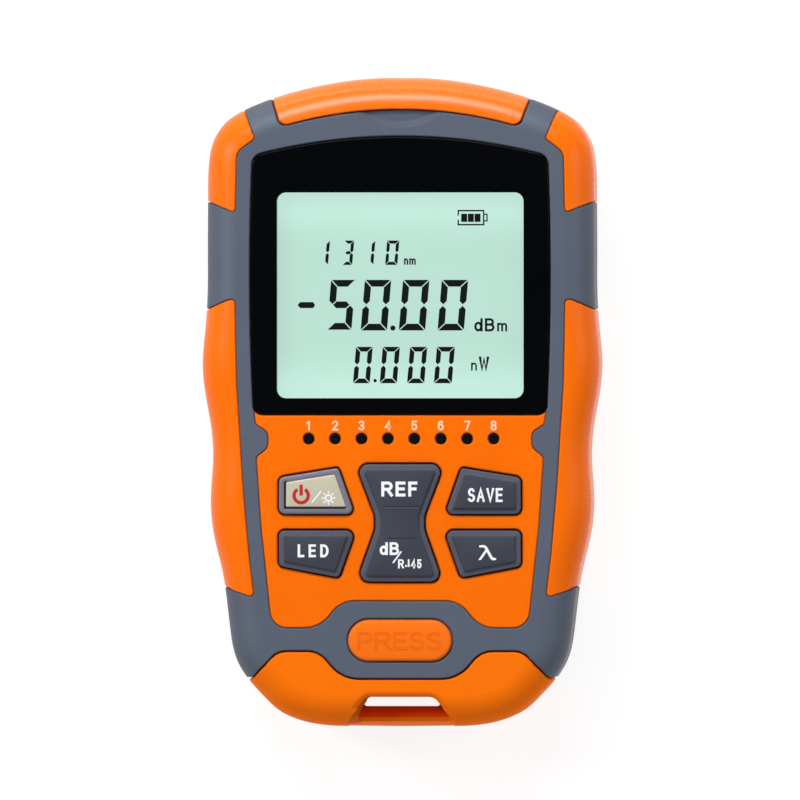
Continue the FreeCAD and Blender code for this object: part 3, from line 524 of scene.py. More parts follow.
def skin(bag, roll, D, T, mask, depth=1.3, g=0.09, h=0.22, mat=0, skirt_mat=None, warp=None):
    """One region of the surface: its top with a rounded edge, and a skirt that goes down into the body."""
    tri = T[mask]
    used, inv = np.unique(tri, return_inverse=True)
    tri = inv.reshape(-1, 3)
    P2 = D[used]
    e = np.concatenate([tri[:, [0, 1]], tri[:, [1, 2]], tri[:, [2, 0]]])
    key = np.sort(e, 1)
    _, first, cnt = np.unique(key[:, 0] * (len(used) + 1) + key[:, 1], return_index=True, return_counts=True)
    be = e[first[cnt == 1]]
    v = P2[be[:, 1]] - P2[be[:, 0]]
    v /= np.maximum(np.linalg.norm(v, axis=1), 1e-9)[:, None]
    left = np.stack([-v[:, 1], v[:, 0]], 1)
    inw = np.zeros_like(P2)
    np.add.at(inw, be[:, 0], left)
    np.add.at(inw, be[:, 1], left)
    ln = np.linalg.norm(inw, axis=1)
    b = np.nonzero(ln > 1e-6)[0]
    inw[b] /= ln[b][:, None]
    pos, nor = roll.fold(P2)
    pb, nb = roll.fold(P2[b] + inw[b] * g)
    p1, _ = roll.fold(P2[b] + inw[b] * 0.06)
    p0, _ = roll.fold(P2[b] - inw[b] * 0.06)
    outw = p0 - p1
    outw /= np.maximum(np.linalg.norm(outw, axis=1), 1e-9)[:, None]
    if warp is not None:
        pos, nor = warp(pos, nor, P2)
        pb, nb = warp(pb, nb, P2[b])
    top = pb - nb * h
    pos[b] = top
    nor[b] = nb * 0.42 + outw * 0.9
    F = tri if roll.up > 0 else tri[:, ::-1]
    bag.add(pos, F, nor, mat)
    idx = -np.ones(len(used), int)
    idx[b] = np.arange(len(b))
    W = np.concatenate([top, top - nb * depth])
    NW = np.concatenate([outw, outw])
    a0, a1 = idx[be[:, 0]], idx[be[:, 1]]
    nB = len(b)
    Q = np.concatenate([np.stack([a0, a0 + nB, a1 + nB], 1), np.stack([a0, a1 + nB, a1], 1)])
    if roll.up < 0:
        Q = Q[:, ::-1]
    bag.add(W, Q, NW, mat if skirt_mat is None else skirt_mat)


FR, RE = Roll(1), Roll(-1)


def grid(roll, q_end, ymin=-99, ymax=99, step=1.0):
    """Points on the rounded edge and the wall."""
    rows = list(np.linspace(0.02, roll.q1, 9)) + list(np.arange(roll.q1 + 1.7, q_end - 0.9, 2.2))
    pts = []
    n = int(350 / step)
    for k, q in enumerate(rows):
        s = (np.arange(n) + 0.5 * (k % 2)) * NOUT / n
        P, N = at_s(s)
        m = (P[:, 1] > ymin) & (P[:, 1] < ymax)
        pts.append((P + N * (q - roll.r1))[m])
    return np.concatenate(pts)


# ------------------------------------------------------- layout of the face
def lay(path, c=CX):
    out = []
    for p in path:
        q = [gx(p[0], c), gy(p[1]), p[2] * U]
        if len(p) > 3:
            q += [gx(p[3], c), gy(p[4])]
        out.append(tuple(q))
    return out


def mirror(path):
    return [(-p[0],) + tuple(p[1:3]) for p in reversed(path)]


def inset(path, d):
    n = len(path)
    ar = sum(path[i - 1][0] * path[i][1] - path[i][0] * path[i - 1][1] for i in range(n))
    sgn = 1.0 if ar > 0 else -1.0
    out = []
    for i in range(n):
        a, b, c = path[i - 1], path[i], path[(i + 1) % n]

        def norm(p, q):
            dx, dy = q[0] - p[0], q[1] - p[1]
            l = math.hypot(dx, dy)
            return (-dy / l * sgn, dx / l * sgn, dx / l, dy / l)
        n1, n2 = norm(a, b), norm(b, c)
        p1 = (b[0] + n1[0] * d, b[1] + n1[1] * d)
        p2 = (b[0] + n2[0] * d, b[1] + n2[1] * d)
        den = n1[2] * n2[3] - n1[3] * n2[2]
        if abs(den) < 1e-9:
            x, y = p1
        else:
            t = ((p2[0] - p1[0]) * n2[3] - (p2[1] - p1[1]) * n2[2]) / den
            x, y = p1[0] + n1[2] * t, p1[1] + n1[3] * t
        convex = (n1[2] * n2[3] - n1[3] * n2[2]) * sgn > 0
        r = b[2] - d if convex else b[2] + d
        out.append((x, y, max(r, 0.12) if b[2] > 0 else 0))
    return out


SIDE_R = lay([(565.2, 299.6, 4), (572.5, 299.9, 3), (640, 328, 0), (640, 556, 0),
              (566.6, 591.6, 10), (545.9, 598.2, 4), (551.0, 556, 60), (557.6, 478, 60), (563.4, 383, 60)])
CORN_R = lay([(556.6, 110.0, 1.5), (600, 110.0, 0), (640, 186, 0), (597, 200.2, 4),
              (564.9, 213.2, 3.2), (563.6, 152.0, 14), (545.6, 139.0, 3)])
SIDE_L, CORN_L = mirror(SIDE_R), mirror(CORN_R)
_ph = [(546.3, 409.6, 1.6), (545.2, 424.2, 6), (532.4, 432.2, 9), (532.4, 447.8, 9),
       (544.2, 457.0, 6), (539.4, 527.0, 0), (528.6, 628.0, 17), (480.0, 628.0, 33),
       (460.2, 600.9, 29)]
PANEL = lay(_ph + [(2 * 400.4 - a, b, c) for a, b, c in reversed(_ph)], 400.4)
_ph2 = [(-60.0, gy(679.4), 0), (gx(250.5), gy(679.4), 1.2), (gx(277.5), gy(651.6), 4.0),
        (gx(319.0), gy(651.6), 4.8), (gx(341.5), gy(679.4), 7.2)]
RIM = _ph2 + [(-x, y, r) for x, y, r in reversed(_ph2)]
REMOTE_ZONE = RIM + [(60.0, -90.0, 0), (-60.0, -90.0, 0)]


def cover_path(d):
    c = 400.4
    return [(gx(c - 119.2, c) - d, gy(126.4) - d, 9 * U),
            (gx(c + 119.2, c) + d, gy(126.4) - d, 9 * U, 0.0, gy(109.1) - d),
            (gx(c + 133.0, c) + d, gy(85), 0), (gx(c + 133.0, c) + d, 70.0, 0),
            (gx(c - 133.0, c) - d, 70.0, 0), (gx(c - 133.0, c) - d, gy(85), 0)]


def lens_path(d):
    c = 399.9
    return lay([(c - 147.6 - d / U, 155.9 - d / U, 13, c - 150.1 - d / U, 280),
                (c + 147.6 + d / U, 155.9 - d / U, 13, c, 136.6 - d / U),
                (c + 146.4 + d / U, 414.7 + d / U, 10, c + 150.1 + d / U, 280),
                (c - 146.4 - d / U, 414.7 + d / U, 10)])


KC = 399.6
A_POWER = lay([(277.4, 476.4, 7), (277.0, 515.5, 8), (356.2, 515.5, 7), (338.8, 466.4, 5)], KC)
A_SAVE = mirror(A_POWER)
A_LED = lay([(277.2, 529.2, 7), (277.2, 567.2, 7), (339.4, 579.2, 6), (357.2, 529.2, 8)], KC)
A_LAMBDA = mirror(A_LED)
_h = [(445.7, 463.0, 10), (425.3, 516.0, 14), (425.3, 529.6, 14), (444.3, 583.0, 10)]
A_ROCKER = lay([(x - 0.1, y, r) for x, y, r in _h] + [(2 * KC - x - 0.1, y, r) for x, y, r in reversed(_h)], KC)
PR, PRR, PY = (451.3 - 347.3) / 2 * U, 20.8 * U, gy(640.5)


def pill_path(d):
    r, l = PRR - d, PR - PRR
    return [(-l, PY - r, 0, -l - r, PY), (l, PY - r, 0), (l, PY + r, 0, l + r, PY), (-l, PY + r, 0)]


def circle(x, y, r, n=28):
    a = np.arange(n) * 2 * math.pi / n
    return np.stack([x + r * np.cos(a), y + r * np.sin(a)], 1)


LEDX = [(309.1 + 26.44 * i - 400.4) * U for i in range(8)]
LEDY = gy(438.7)
SCREWS = [(-29.3, 44.2), (29.3, 44.2), (-26.3, -38.8), (26.3, -38.8)]
SL0, SL1 = gy(707.4), gy(697.2)


def region_front():
    """Face half of the case: grey moulding, orange islands, key panel."""
    qe = FR.q_of_z(12.0)
    dom = FR.ring(qe)
    remote = thin(FR.unroll(poly(inset(REMOTE_ZONE, -0.15), 0.03), qe))
    cover = thin(FR.unroll(poly(cover_path(0.2), 0.03), qe))
    lens = thin(poly(lens_path(0.1)))
    isl = [thin(FR.unroll(poly(p, 0.03), qe)) for p in (SIDE_R, SIDE_L, CORN_R, CORN_L)]
    panel = thin(poly(PANEL))
    keys = [thin(poly(p, 0.02), 0.5, 0.25) for p in (A_POWER, A_SAVE, A_LED, A_LAMBDA, A_ROCKER)]
    leds = [circle(x, LEDY, 1.02) for x in LEDX]
    pill = thin(poly(pill_path(-0.17)), 0.5, 0.15)
    loops = [dom, FR.ring(qe - EDGE)]
    for L in [remote, cover, lens, panel, pill] + isl + keys + leds:
        loops += seams(L)
    nick = circle(0.0, gy(126.0) + 13.4, 13.4, 150)
    loops += seams(nick)
    D, T = cdt(loops, grid(FR, qe))
    C = D[T].mean(1)
    i_dom = inside(dom, C)
    i_rem, i_cov, i_lens, i_pan, i_pill = (inside(L, C) for L in (remote, cover, lens, panel, pill))
    i_isl = np.zeros(len(C), bool)
    for L in isl:
        i_isl |= inside(L, C)
    i_hole = np.zeros(len(C), bool)
    for L in keys + leds:
        i_hole |= inside(L, C)
    base = i_dom & ~i_rem & ~i_cov & ~i_lens

    grey, orange = Bag(), Bag()
    skin(grey, FR, D, T, base & ~i_isl & ~i_pan & ~i_pill & ~inside(nick, C), depth=1.25)
    skin(orange, FR, D, T, base & (i_isl | i_pan) & ~i_hole, depth=1.3)
    core(grey, "front_overmould")
    core(orange, "front_shell")
    return grey, orange


def region_cover():
    qe = FR.q_of_z(3.8)
    cov = thin(FR.unroll(poly(cover_path(0.0), 0.03), qe))
    sr = float(np.interp(12.3, OUT[:60, 0], np.arange(60)))
    q86 = FR.q_of_z(8.6)
    ss = np.linspace(-sr, sr, 40)
    P, N = at_s(ss)
    hole = np.concatenate([P + N * (q86 - FR.r1), (P + N * (qe + 2.5 - FR.r1))[::-1]])
    dom = FR.ring(qe)
    loops = [dom, FR.ring(qe - EDGE)] + seams(cov) + seams(hole)
    pts = grid(FR, qe, ymin=50)
    D, T = cdt(loops, pts)
    C = D[T].mean(1)
    bag = Bag()
    skin(bag, FR, D, T, inside(dom, C) & inside(cov, C) & ~inside(hole, C), depth=2.0)
    core(bag, "top_cover", keep=lambda c: (np.abs(c[:, 0]) < 12.45) & (c[:, 2] < 9.3))
    return bag


def scoop_path(w=0.0):
    P = [(-6.4, SL1, 2.2), (-10.2, gy(722.3), 0), (-10.8, -70, 0), (10.8, -70, 0), (10.2, gy(722.3), 0), (6.4, SL1, 2.2)]
    return [(x + math.copysign(w, x), y, r) for x, y, r in P]


def bar_zone(c):
    return (np.abs(c[:, 0]) < 11.1) & (c[:, 1] < SL0 + 0.02)


def region_remote(up):
    R = FR if up > 0 else RE
    qe = R.q_of_z(12.0)
    zone = thin(R.unroll(poly(inset(REMOTE_ZONE, 0.1), 0.03), qe))
    qs = qe if up > 0 else R.q_of_z(8.0) - 1.5
    scoop = thin(R.unroll(poly(scoop_path(0.0 if up > 0 else 1.6), 0.03), qs))
    dom = R.ring(qe)
    loops = [dom, R.ring(qe - EDGE)] + seams(zone) + [scoop]
    FIL = 1.3 if up > 0 else 0.8
    for k in (0.07, 0.2, 0.4, 0.65, 1.0):
        loops.append(shift(scoop, -FIL * k))
    holes = [scoop]
    if up < 0:
        for x in (-22.6, 22.6):
            c = circle(x, -50.2, 2.1)
            d = nearest(c)[1]
            L = thin(R.unroll(poly([(p[0], p[1], 0) for p in circle(x, -50.2, 2.1, 60)], 0.05), qe))
            loops += seams(L, 0.2)
            holes.append(L)
    D, T = cdt(loops, grid(R, qe, ymax=-40))
    C = D[T].mean(1)
    m = inside(dom, C) & inside(zone, C)
    for L in holes:
        m &= ~inside(L, C)
    bag = Bag()

    def warp(pos, nor, P2):
        """Rounds the mouth of the cord slot and keeps the back clear of the ground."""
        d = dist_to(P2, scoop)
        k = np.clip((FIL - d) / FIL, 0, 0.995)
        w = k > 0
        pos, nor = pos.copy(), nor.copy()
        if w.any():
            e = 0.02
            gx_, gy_ = dist_to(P2[w] + [e, 0], scoop) - d[w], dist_to(P2[w] + [0, e], scoop) - d[w]
            g = np.stack([gx_, gy_], 1)
            g /= np.maximum(np.linalg.norm(g, axis=1), 1e-9)[:, None]
            p1, _ = R.fold(P2[w] - g * 0.05)
            p0, _ = R.fold(P2[w] + g * 0.05)
            t = p1 - p0
            t /= np.maximum(np.linalg.norm(t, axis=1), 1e-9)[:, None]
            kk = k[w]
            pos[w] -= nor[w] * (FIL * (1 - np.sqrt(1 - kk ** 2)))[:, None] * 0.36
            nor[w] = nor[w] * np.sqrt(1 - kk ** 2)[:, None] + t * kk[:, None]
        if up < 0:
            pos[:, 2] = np.maximum(pos[:, 2], 0.4)
        return pos, nor
    skin(bag, R, D, T, m, depth=2.2, warp=warp)
    edge = poly(scoop_path(), 0.03)

    def flare(co):
        """The scoop at the back is wider than at the front."""
        q = (co[:, 2] < 8.06) & (co[:, 1] < SL1 + 0.3) & (co[:, 1] > -61.5) & (np.abs(co[:, 0]) > 3.0)
        i = np.where(q)[0]
        i = i[dist_to(co[i][:, :2], edge) < 0.12]
        co[i, 0] += np.sign(co[i, 0]) * 1.6
        return co
    core(bag, "remote_front_shell" if up > 0 else "remote_rear_shell", keep=bar_zone if up > 0 else None, warp=None if up > 0 else flare)
    if up < 0:
        # the walls of the wider scoop stand straight up from the edge of the skin
        co, tri = bag.V[-1], bag.F[-1] - (bag.n - len(bag.V[-1]))
        c = co[tri].mean(1)
        ok = ~((np.abs(c[:, 0]) > 6.5) & (np.abs(c[:, 0]) < 13.0) & (c[:, 2] < 7.9) & (c[:, 1] < SL1 + 0.3))
        bag.F[-1], bag.M[-1] = bag.F[-1][ok], bag.M[-1][ok]
        bag.N[-1] = bag.N[-1].reshape(-1, 3, 3)[ok].reshape(-1, 3)
        p, n = R.fold(np.asarray(scoop, float))
        p = p - n * 0.3
        p[:, 2] = np.maximum(p[:, 2], 0.45)
        quads, pts = [], []
        for i in range(len(p)):
            u, v = p[i], p[(i + 1) % len(p)]
            if max(u[2], v[2]) > 7.85 or abs(u[0] - v[0]) + abs(u[1] - v[1]) < 1e-4:
                continue
            m = np.array([v[1] - u[1], u[0] - v[0]])
            m /= np.linalg.norm(m)
            if m @ (np.array([0, -66.0]) - (u[:2] + v[:2]) / 2) < 0:
                u, v, m = v, u, -m
            o = np.array([m[0], m[1], 0]) * 0.03
            k = len(pts)
            pts += [u + o, v + o, np.array([v[0], v[1], 8.0]) + o, np.array([u[0], u[1], 8.0]) + o]
            nn = np.cross(pts[k + 1] - pts[k], pts[k + 2] - pts[k])
            quads.append((k, k + 1, k + 2, k + 3) if nn[:2] @ m > 0 else (k + 3, k + 2, k + 1, k))
        # a thin tongue along the joint keeps the light out
        J = np.asarray(poly(inset(REMOTE_ZONE, 0.1), 0.03), float)[:, :2]
        t = np.roll(J, -1, 0) - np.roll(J, 1, 0)
        t /= np.maximum(np.linalg.norm(t, axis=1), 1e-9)[:, None]
        m = np.stack([t[:, 1], -t[:, 0]], 1) * 0.38
        A, B = J + m, J - m
        far = np.minimum(nearest(A)[1], nearest(B)[1])
        for i in range(len(J)):
            k, j = len(pts), (i + 1) % len(J)
            if min(far[i], far[j]) < 0.5 or np.linalg.norm(J[i] - J[j]) < 1e-4:
                continue
            q = [A[i], B[i], B[j], A[j]]
            pts += [np.array([c[0], c[1], 9.0]) for c in q]
            e, f = q[1] - q[0], q[2] - q[0]
            nz = e[0] * f[1] - e[1] * f[0]
            quads.append((k, k + 1, k + 2, k + 3) if nz > 0 else (k + 3, k + 2, k + 1, k))
        if quads:
            bag.flat(pts, quads)
    return bag


def region_rear():
    qe = RE.q_of_z(12.0)
    dom = RE.ring(qe)
    remote = thin(RE.unroll(poly(inset(REMOTE_ZONE, -0.15), 0.03), qe))
    head = thin(RE.unroll(poly([(-25.47, 52.5, 0), (25.47, 52.5, 0), (25.47, 75, 0), (-25.47, 75, 0)], 0.03), qe))
    isl = [thin(RE.unroll(poly(p, 0.03), qe)) for p in (SIDE_R, SIDE_L, CORN_R, CORN_L)]
    rpan = thin(poly([(-26.5, -35.0, 5), (26.5, -35.0, 5), (26.5, 44.5, 5), (-26.5, 44.5, 5)]))
    door = thin(poly([(-18.5, -27.1, 0.3), (18.5, -27.1, 0.3), (18.5, 24.1, 0.3), (-18.5, 24.1, 0.3)]))
    scr = [circle(x, y, 3.3, 40) for x, y in SCREWS]
    scr = [thin(RE.unroll(poly([(p[0], p[1], 0) for p in c], 0.05), qe)) for c in scr]
    loops = [dom, RE.ring(qe - EDGE)]
    for L in [remote, rpan, door] + isl + scr:
        loops += seams(L)
    loops.append(head)
    D, T = cdt(loops, grid(RE, qe))
    C = D[T].mean(1)
    i_isl = np.zeros(len(C), bool)
    for L in isl + [rpan]:
        i_isl |= inside(L, C)
    i_scr = np.zeros(len(C), bool)
    for L in scr:
        i_scr |= inside(L, C)
    base = inside(dom, C) & ~inside(remote, C) & ~inside(head, C) & ~i_scr
    grey, orange = Bag(), Bag()
    skin(grey, RE, D, T, base & ~i_isl, depth=1.25)
    skin(orange, RE, D, T, base & i_isl & ~inside(door, C), depth=1.3)

    def keep(c):
        return (np.abs(c[:, 0]) < 25.6) & (c[:, 1] > 52.3)
    core(grey, "rear_overmould", keep=keep)
    core(orange, "rear_shell", keep=keep)
    return grey, orange


# ------------------------------------------------------------------ materials
def lin(c):
    return [v / 255 / 12.92 if v / 255 <= 0.04045 else ((v / 255 + 0.055) / 1.055) ** 2.4 for v in c]


def node(nt, kind, x=0, y=0, **kw):
    n = nt.nodes.new(kind)
    n.location = (x, y)
    for k, v in kw.items():
        setattr(n, k, v)
    return n


def surface(name, col, rough=0.45, metal=0.0, var=0.05, blotch=70.0, grain=2600.0, bump=0.25, dist=0.00002,
            rvar=0.07, spec=0.5, coat=0.0, coat_rough=0.15, glow=None, glow_k=0.0, trans=0.0, sss=0.0, sss_r=0.001,
            painted_shade=None):
    """Moulded or metal finish: colour drifts a little, roughness varies, and a fine grain stands in the surface."""
    m = bpy.data.materials.new(name)
    m.use_nodes = True
    nt = m.node_tree
    nt.nodes.clear()
    out = node(nt, "ShaderNodeOutputMaterial", 900, 0)
    bs = node(nt, "ShaderNodeBsdfPrincipled", 600, 0)
    tc = node(nt, "ShaderNodeTexCoord", -900, 0)
    n1 = node(nt, "ShaderNodeTexNoise", -600, 200)
    n1.inputs["Scale"].default_value = blotch
    n1.inputs["Detail"].default_value = 3.0
    n1.inputs["Roughness"].default_value = 0.6
    n2 = node(nt, "ShaderNodeTexNoise", -600, -200)
    n2.inputs["Scale"].default_value = grain
    n2.inputs["Detail"].default_value = 2.0
    nt.links.new(tc.outputs["Object"], n1.inputs["Vector"])
    nt.links.new(tc.outputs["Object"], n2.inputs["Vector"])
    mix = node(nt, "ShaderNodeMix", -200, 200, data_type="RGBA")
    c = lin(col)
    mix.inputs[6].default_value = [min(1.0, v * (1 - var)) for v in c] + [1]
    mix.inputs[7].default_value = [min(1.0, v * (1 + var)) for v in c] + [1]
    mr0 = node(nt, "ShaderNodeMapRange", -400, 200)
    mr0.inputs["From Min"].default_value = 0.3
    mr0.inputs["From Max"].default_value = 0.7
    nt.links.new(n1.outputs["Fac"], mr0.inputs["Value"])
    nt.links.new(mr0.outputs["Result"], mix.inputs[0])
    if painted_shade is None:
        nt.links.new(mix.outputs[2], bs.inputs["Base Color"])
    else:
        # painted shade: the low walls are drawn darker than the face by object height, standing in for the light that
        # falls off down the sides
        zlo, zhi, k = painted_shade
        sp = node(nt, "ShaderNodeSeparateXYZ", -700, 500)
        nt.links.new(tc.outputs["Object"], sp.inputs[0])
        mz = node(nt, "ShaderNodeMapRange", -450, 500)
        mz.inputs["From Min"].default_value = zlo
        mz.inputs["From Max"].default_value = zhi
        mz.inputs["To Min"].default_value = k
        mz.inputs["To Max"].default_value = 1.0
        nt.links.new(sp.outputs["Z"], mz.inputs["Value"])
        hs = node(nt, "ShaderNodeHueSaturation", 100, 300)
        nt.links.new(mix.outputs[2], hs.inputs["Color"])
        nt.links.new(mz.outputs["Result"], hs.inputs["Value"])
        nt.links.new(hs.outputs["Color"], bs.inputs["Base Color"])
    mr = node(nt, "ShaderNodeMapRange", -200, -100)
    mr.inputs["From Min"].default_value = 0.25
    mr.inputs["From Max"].default_value = 0.75
    mr.inputs["To Min"].default_value = max(0.02, rough - rvar)
    mr.inputs["To Max"].default_value = min(1.0, rough + rvar)
    nt.links.new(n2.outputs["Fac"], mr.inputs["Value"])
    nt.links.new(mr.outputs["Result"], bs.inputs["Roughness"])
    bp = node(nt, "ShaderNodeBump", 200, -300)
    bp.inputs["Strength"].default_value = bump
    bp.inputs["Distance"].default_value = dist
    nt.links.new(n2.outputs["Fac"], bp.inputs["Height"])
    nt.links.new(bp.outputs["Normal"], bs.inputs["Normal"])
    bs.inputs["Metallic"].default_value = metal
    bs.inputs["Specular IOR Level"].default_value = spec
    bs.inputs["Coat Weight"].default_value = coat
    bs.inputs["Coat Roughness"].default_value = coat_rough
    if trans:
        bs.inputs["Transmission Weight"].default_value = trans
    if sss:
        bs.inputs["Subsurface Weight"].default_value = sss
        bs.inputs["Subsurface Radius"].default_value = [sss_r, sss_r * 0.4, sss_r * 0.15]
        bs.inputs["Subsurface Scale"].default_value = 1.0
    if glow is not None:
        bs.inputs["Emission Color"].default_value = lin(glow) + [1]
        bs.inputs["Emission Strength"].default_value = glow_k
    nt.links.new(bs.outputs["BSDF"], out.inputs["Surface"])
    return m


def window_clear(name):
    """Thin clear glass over the display: mostly see-through, with a mirror-like sheen."""
    m = bpy.data.materials.new(name)
    m.use_nodes = True
    nt = m.node_tree
    nt.nodes.clear()
    out = node(nt, "ShaderNodeOutputMaterial", 600, 0)
    mx = node(nt, "ShaderNodeMixShader", 400, 0)
    tr = node(nt, "ShaderNodeBsdfTransparent", 100, 100)
    gl = node(nt, "ShaderNodeBsdfGlossy", 100, -100)
    tc = node(nt, "ShaderNodeTexCoord", -700, 0)
    n1 = node(nt, "ShaderNodeTexNoise", -500, 0)
    n1.inputs["Scale"].default_value = 90.0
    nt.links.new(tc.outputs["Object"], n1.inputs["Vector"])
    mr = node(nt, "ShaderNodeMapRange", -250, -100)
    mr.inputs["To Min"].default_value = 0.03
    mr.inputs["To Max"].default_value = 0.08
    nt.links.new(n1.outputs["Fac"], mr.inputs["Value"])
    nt.links.new(mr.outputs["Result"], gl.inputs["Roughness"])
    m2 = node(nt, "ShaderNodeMapRange", -250, 200)
    m2.inputs["To Min"].default_value = 0.030
    m2.inputs["To Max"].default_value = 0.042
    nt.links.new(n1.outputs["Fac"], m2.inputs["Value"])
    nt.links.new(m2.outputs["Result"], mx.inputs[0])
    tr.inputs["Color"].default_value = (0.985, 0.99, 0.985, 1)
    nt.links.new(tr.outputs["BSDF"], mx.inputs[1])
    nt.links.new(gl.outputs["BSDF"], mx.inputs[2])
    nt.links.new(mx.outputs["Shader"], out.inputs["Surface"])
    return m


def display_face(name):
    """Backlit display: pale green, a little brighter at its head and foot where the light comes in."""
    m = bpy.data.materials.new(name)
    m.use_nodes = True
    nt = m.node_tree
    nt.nodes.clear()
    out = node(nt, "ShaderNodeOutputMaterial", 1300, 0)
    bs = node(nt, "ShaderNodeBsdfPrincipled", 1000, 0)
    tc = node(nt, "ShaderNodeTexCoord", -1200, 0)
    sp = node(nt, "ShaderNodeSeparateXYZ", -1000, 0)
    nt.links.new(tc.outputs["Object"], sp.inputs[0])
    # distance from the middle in Y, 0 at the middle and 1 at the edges
    a = node(nt, "ShaderNodeMath", -800, 100, operation="SUBTRACT")
    a.inputs[1].default_value = 0.02035
    nt.links.new(sp.outputs["Y"], a.inputs[0])
    b = node(nt, "ShaderNodeMath", -650, 100, operation="ABSOLUTE")
    nt.links.new(a.outputs[0], b.inputs[0])
    c = node(nt, "ShaderNodeMapRange", -500, 100, interpolation_type="SMOOTHERSTEP")
    c.inputs["From Min"].default_value = 0.007
    c.inputs["From Max"].default_value = 0.0215
    nt.links.new(b.outputs[0], c.inputs["Value"])
    # lamp hot spots along the foot
    w = node(nt, "ShaderNodeMath", -800, -200, operation="MULTIPLY")
    w.inputs[1].default_value = 2 * math.pi / 0.0122
    nt.links.new(sp.outputs["X"], w.inputs[0])
    w2 = node(nt, "ShaderNodeMath", -650, -200, operation="COSINE")
    nt.links.new(w.outputs[0], w2.inputs[0])
    w3 = node(nt, "ShaderNodeMapRange", -500, -200)
    w3.inputs["From Min"].default_value = -0.2
    w3.inputs["From Max"].default_value = 1.0
    nt.links.new(w2.outputs[0], w3.inputs["Value"])
    f = node(nt, "ShaderNodeMapRange", -500, -450, interpolation_type="SMOOTHERSTEP")
    f.inputs["From Min"].default_value = 0.0058
    f.inputs["From Max"].default_value = 0.0012
    nt.links.new(sp.outputs["Y"], f.inputs["Value"])
    hs = node(nt, "ShaderNodeMath", -300, -300, operation="MULTIPLY")
    nt.links.new(w3.outputs["Result"], hs.inputs[0])
    nt.links.new(f.outputs["Result"], hs.inputs[1])
    no = node(nt, "ShaderNodeTexNoise", -800, 400)
    no.inputs["Scale"].default_value = 60.0
    nt.links.new(tc.outputs["Object"], no.inputs["Vector"])
    s1 = node(nt, "ShaderNodeMath", -100, 0, operation="MULTIPLY_ADD")
    nt.links.new(no.outputs["Fac"], s1.inputs[0])
    s1.inputs[1].default_value = 0.25
    nt.links.new(c.outputs["Result"], s1.inputs[2])
    s2 = node(nt, "ShaderNodeMath", 50, -100, operation="MULTIPLY_ADD")
    nt.links.new(hs.outputs[0], s2.inputs[0])
    s2.inputs[1].default_value = 0.9
    nt.links.new(s1.outputs[0], s2.inputs[2])
    mix = node(nt, "ShaderNodeMix", 300, 0, data_type="RGBA")
    mix.inputs[6].default_value = lin(LCD_LO) + [1]
    mix.inputs[7].default_value = lin(LCD_HI) + [1]
    nt.links.new(s2.outputs[0], mix.inputs[0])
    nt.links.new(mix.outputs[2], bs.inputs["Emission Color"])
    bs.inputs["Emission Strength"].default_value = LCD_GLOW
    bs.inputs["Base Color"].default_value = lin((70, 92, 80)) + [1]
    mr = node(nt, "ShaderNodeMapRange", 300, -300)
    mr.inputs["To Min"].default_value = 0.35
    mr.inputs["To Max"].default_value = 0.5
    nt.links.new(no.outputs["Fac"], mr.inputs["Value"])
    nt.links.new(mr.outputs["Result"], bs.inputs["Roughness"])
    nt.links.new(bs.outputs["BSDF"], out.inputs["Surface"])
    return m


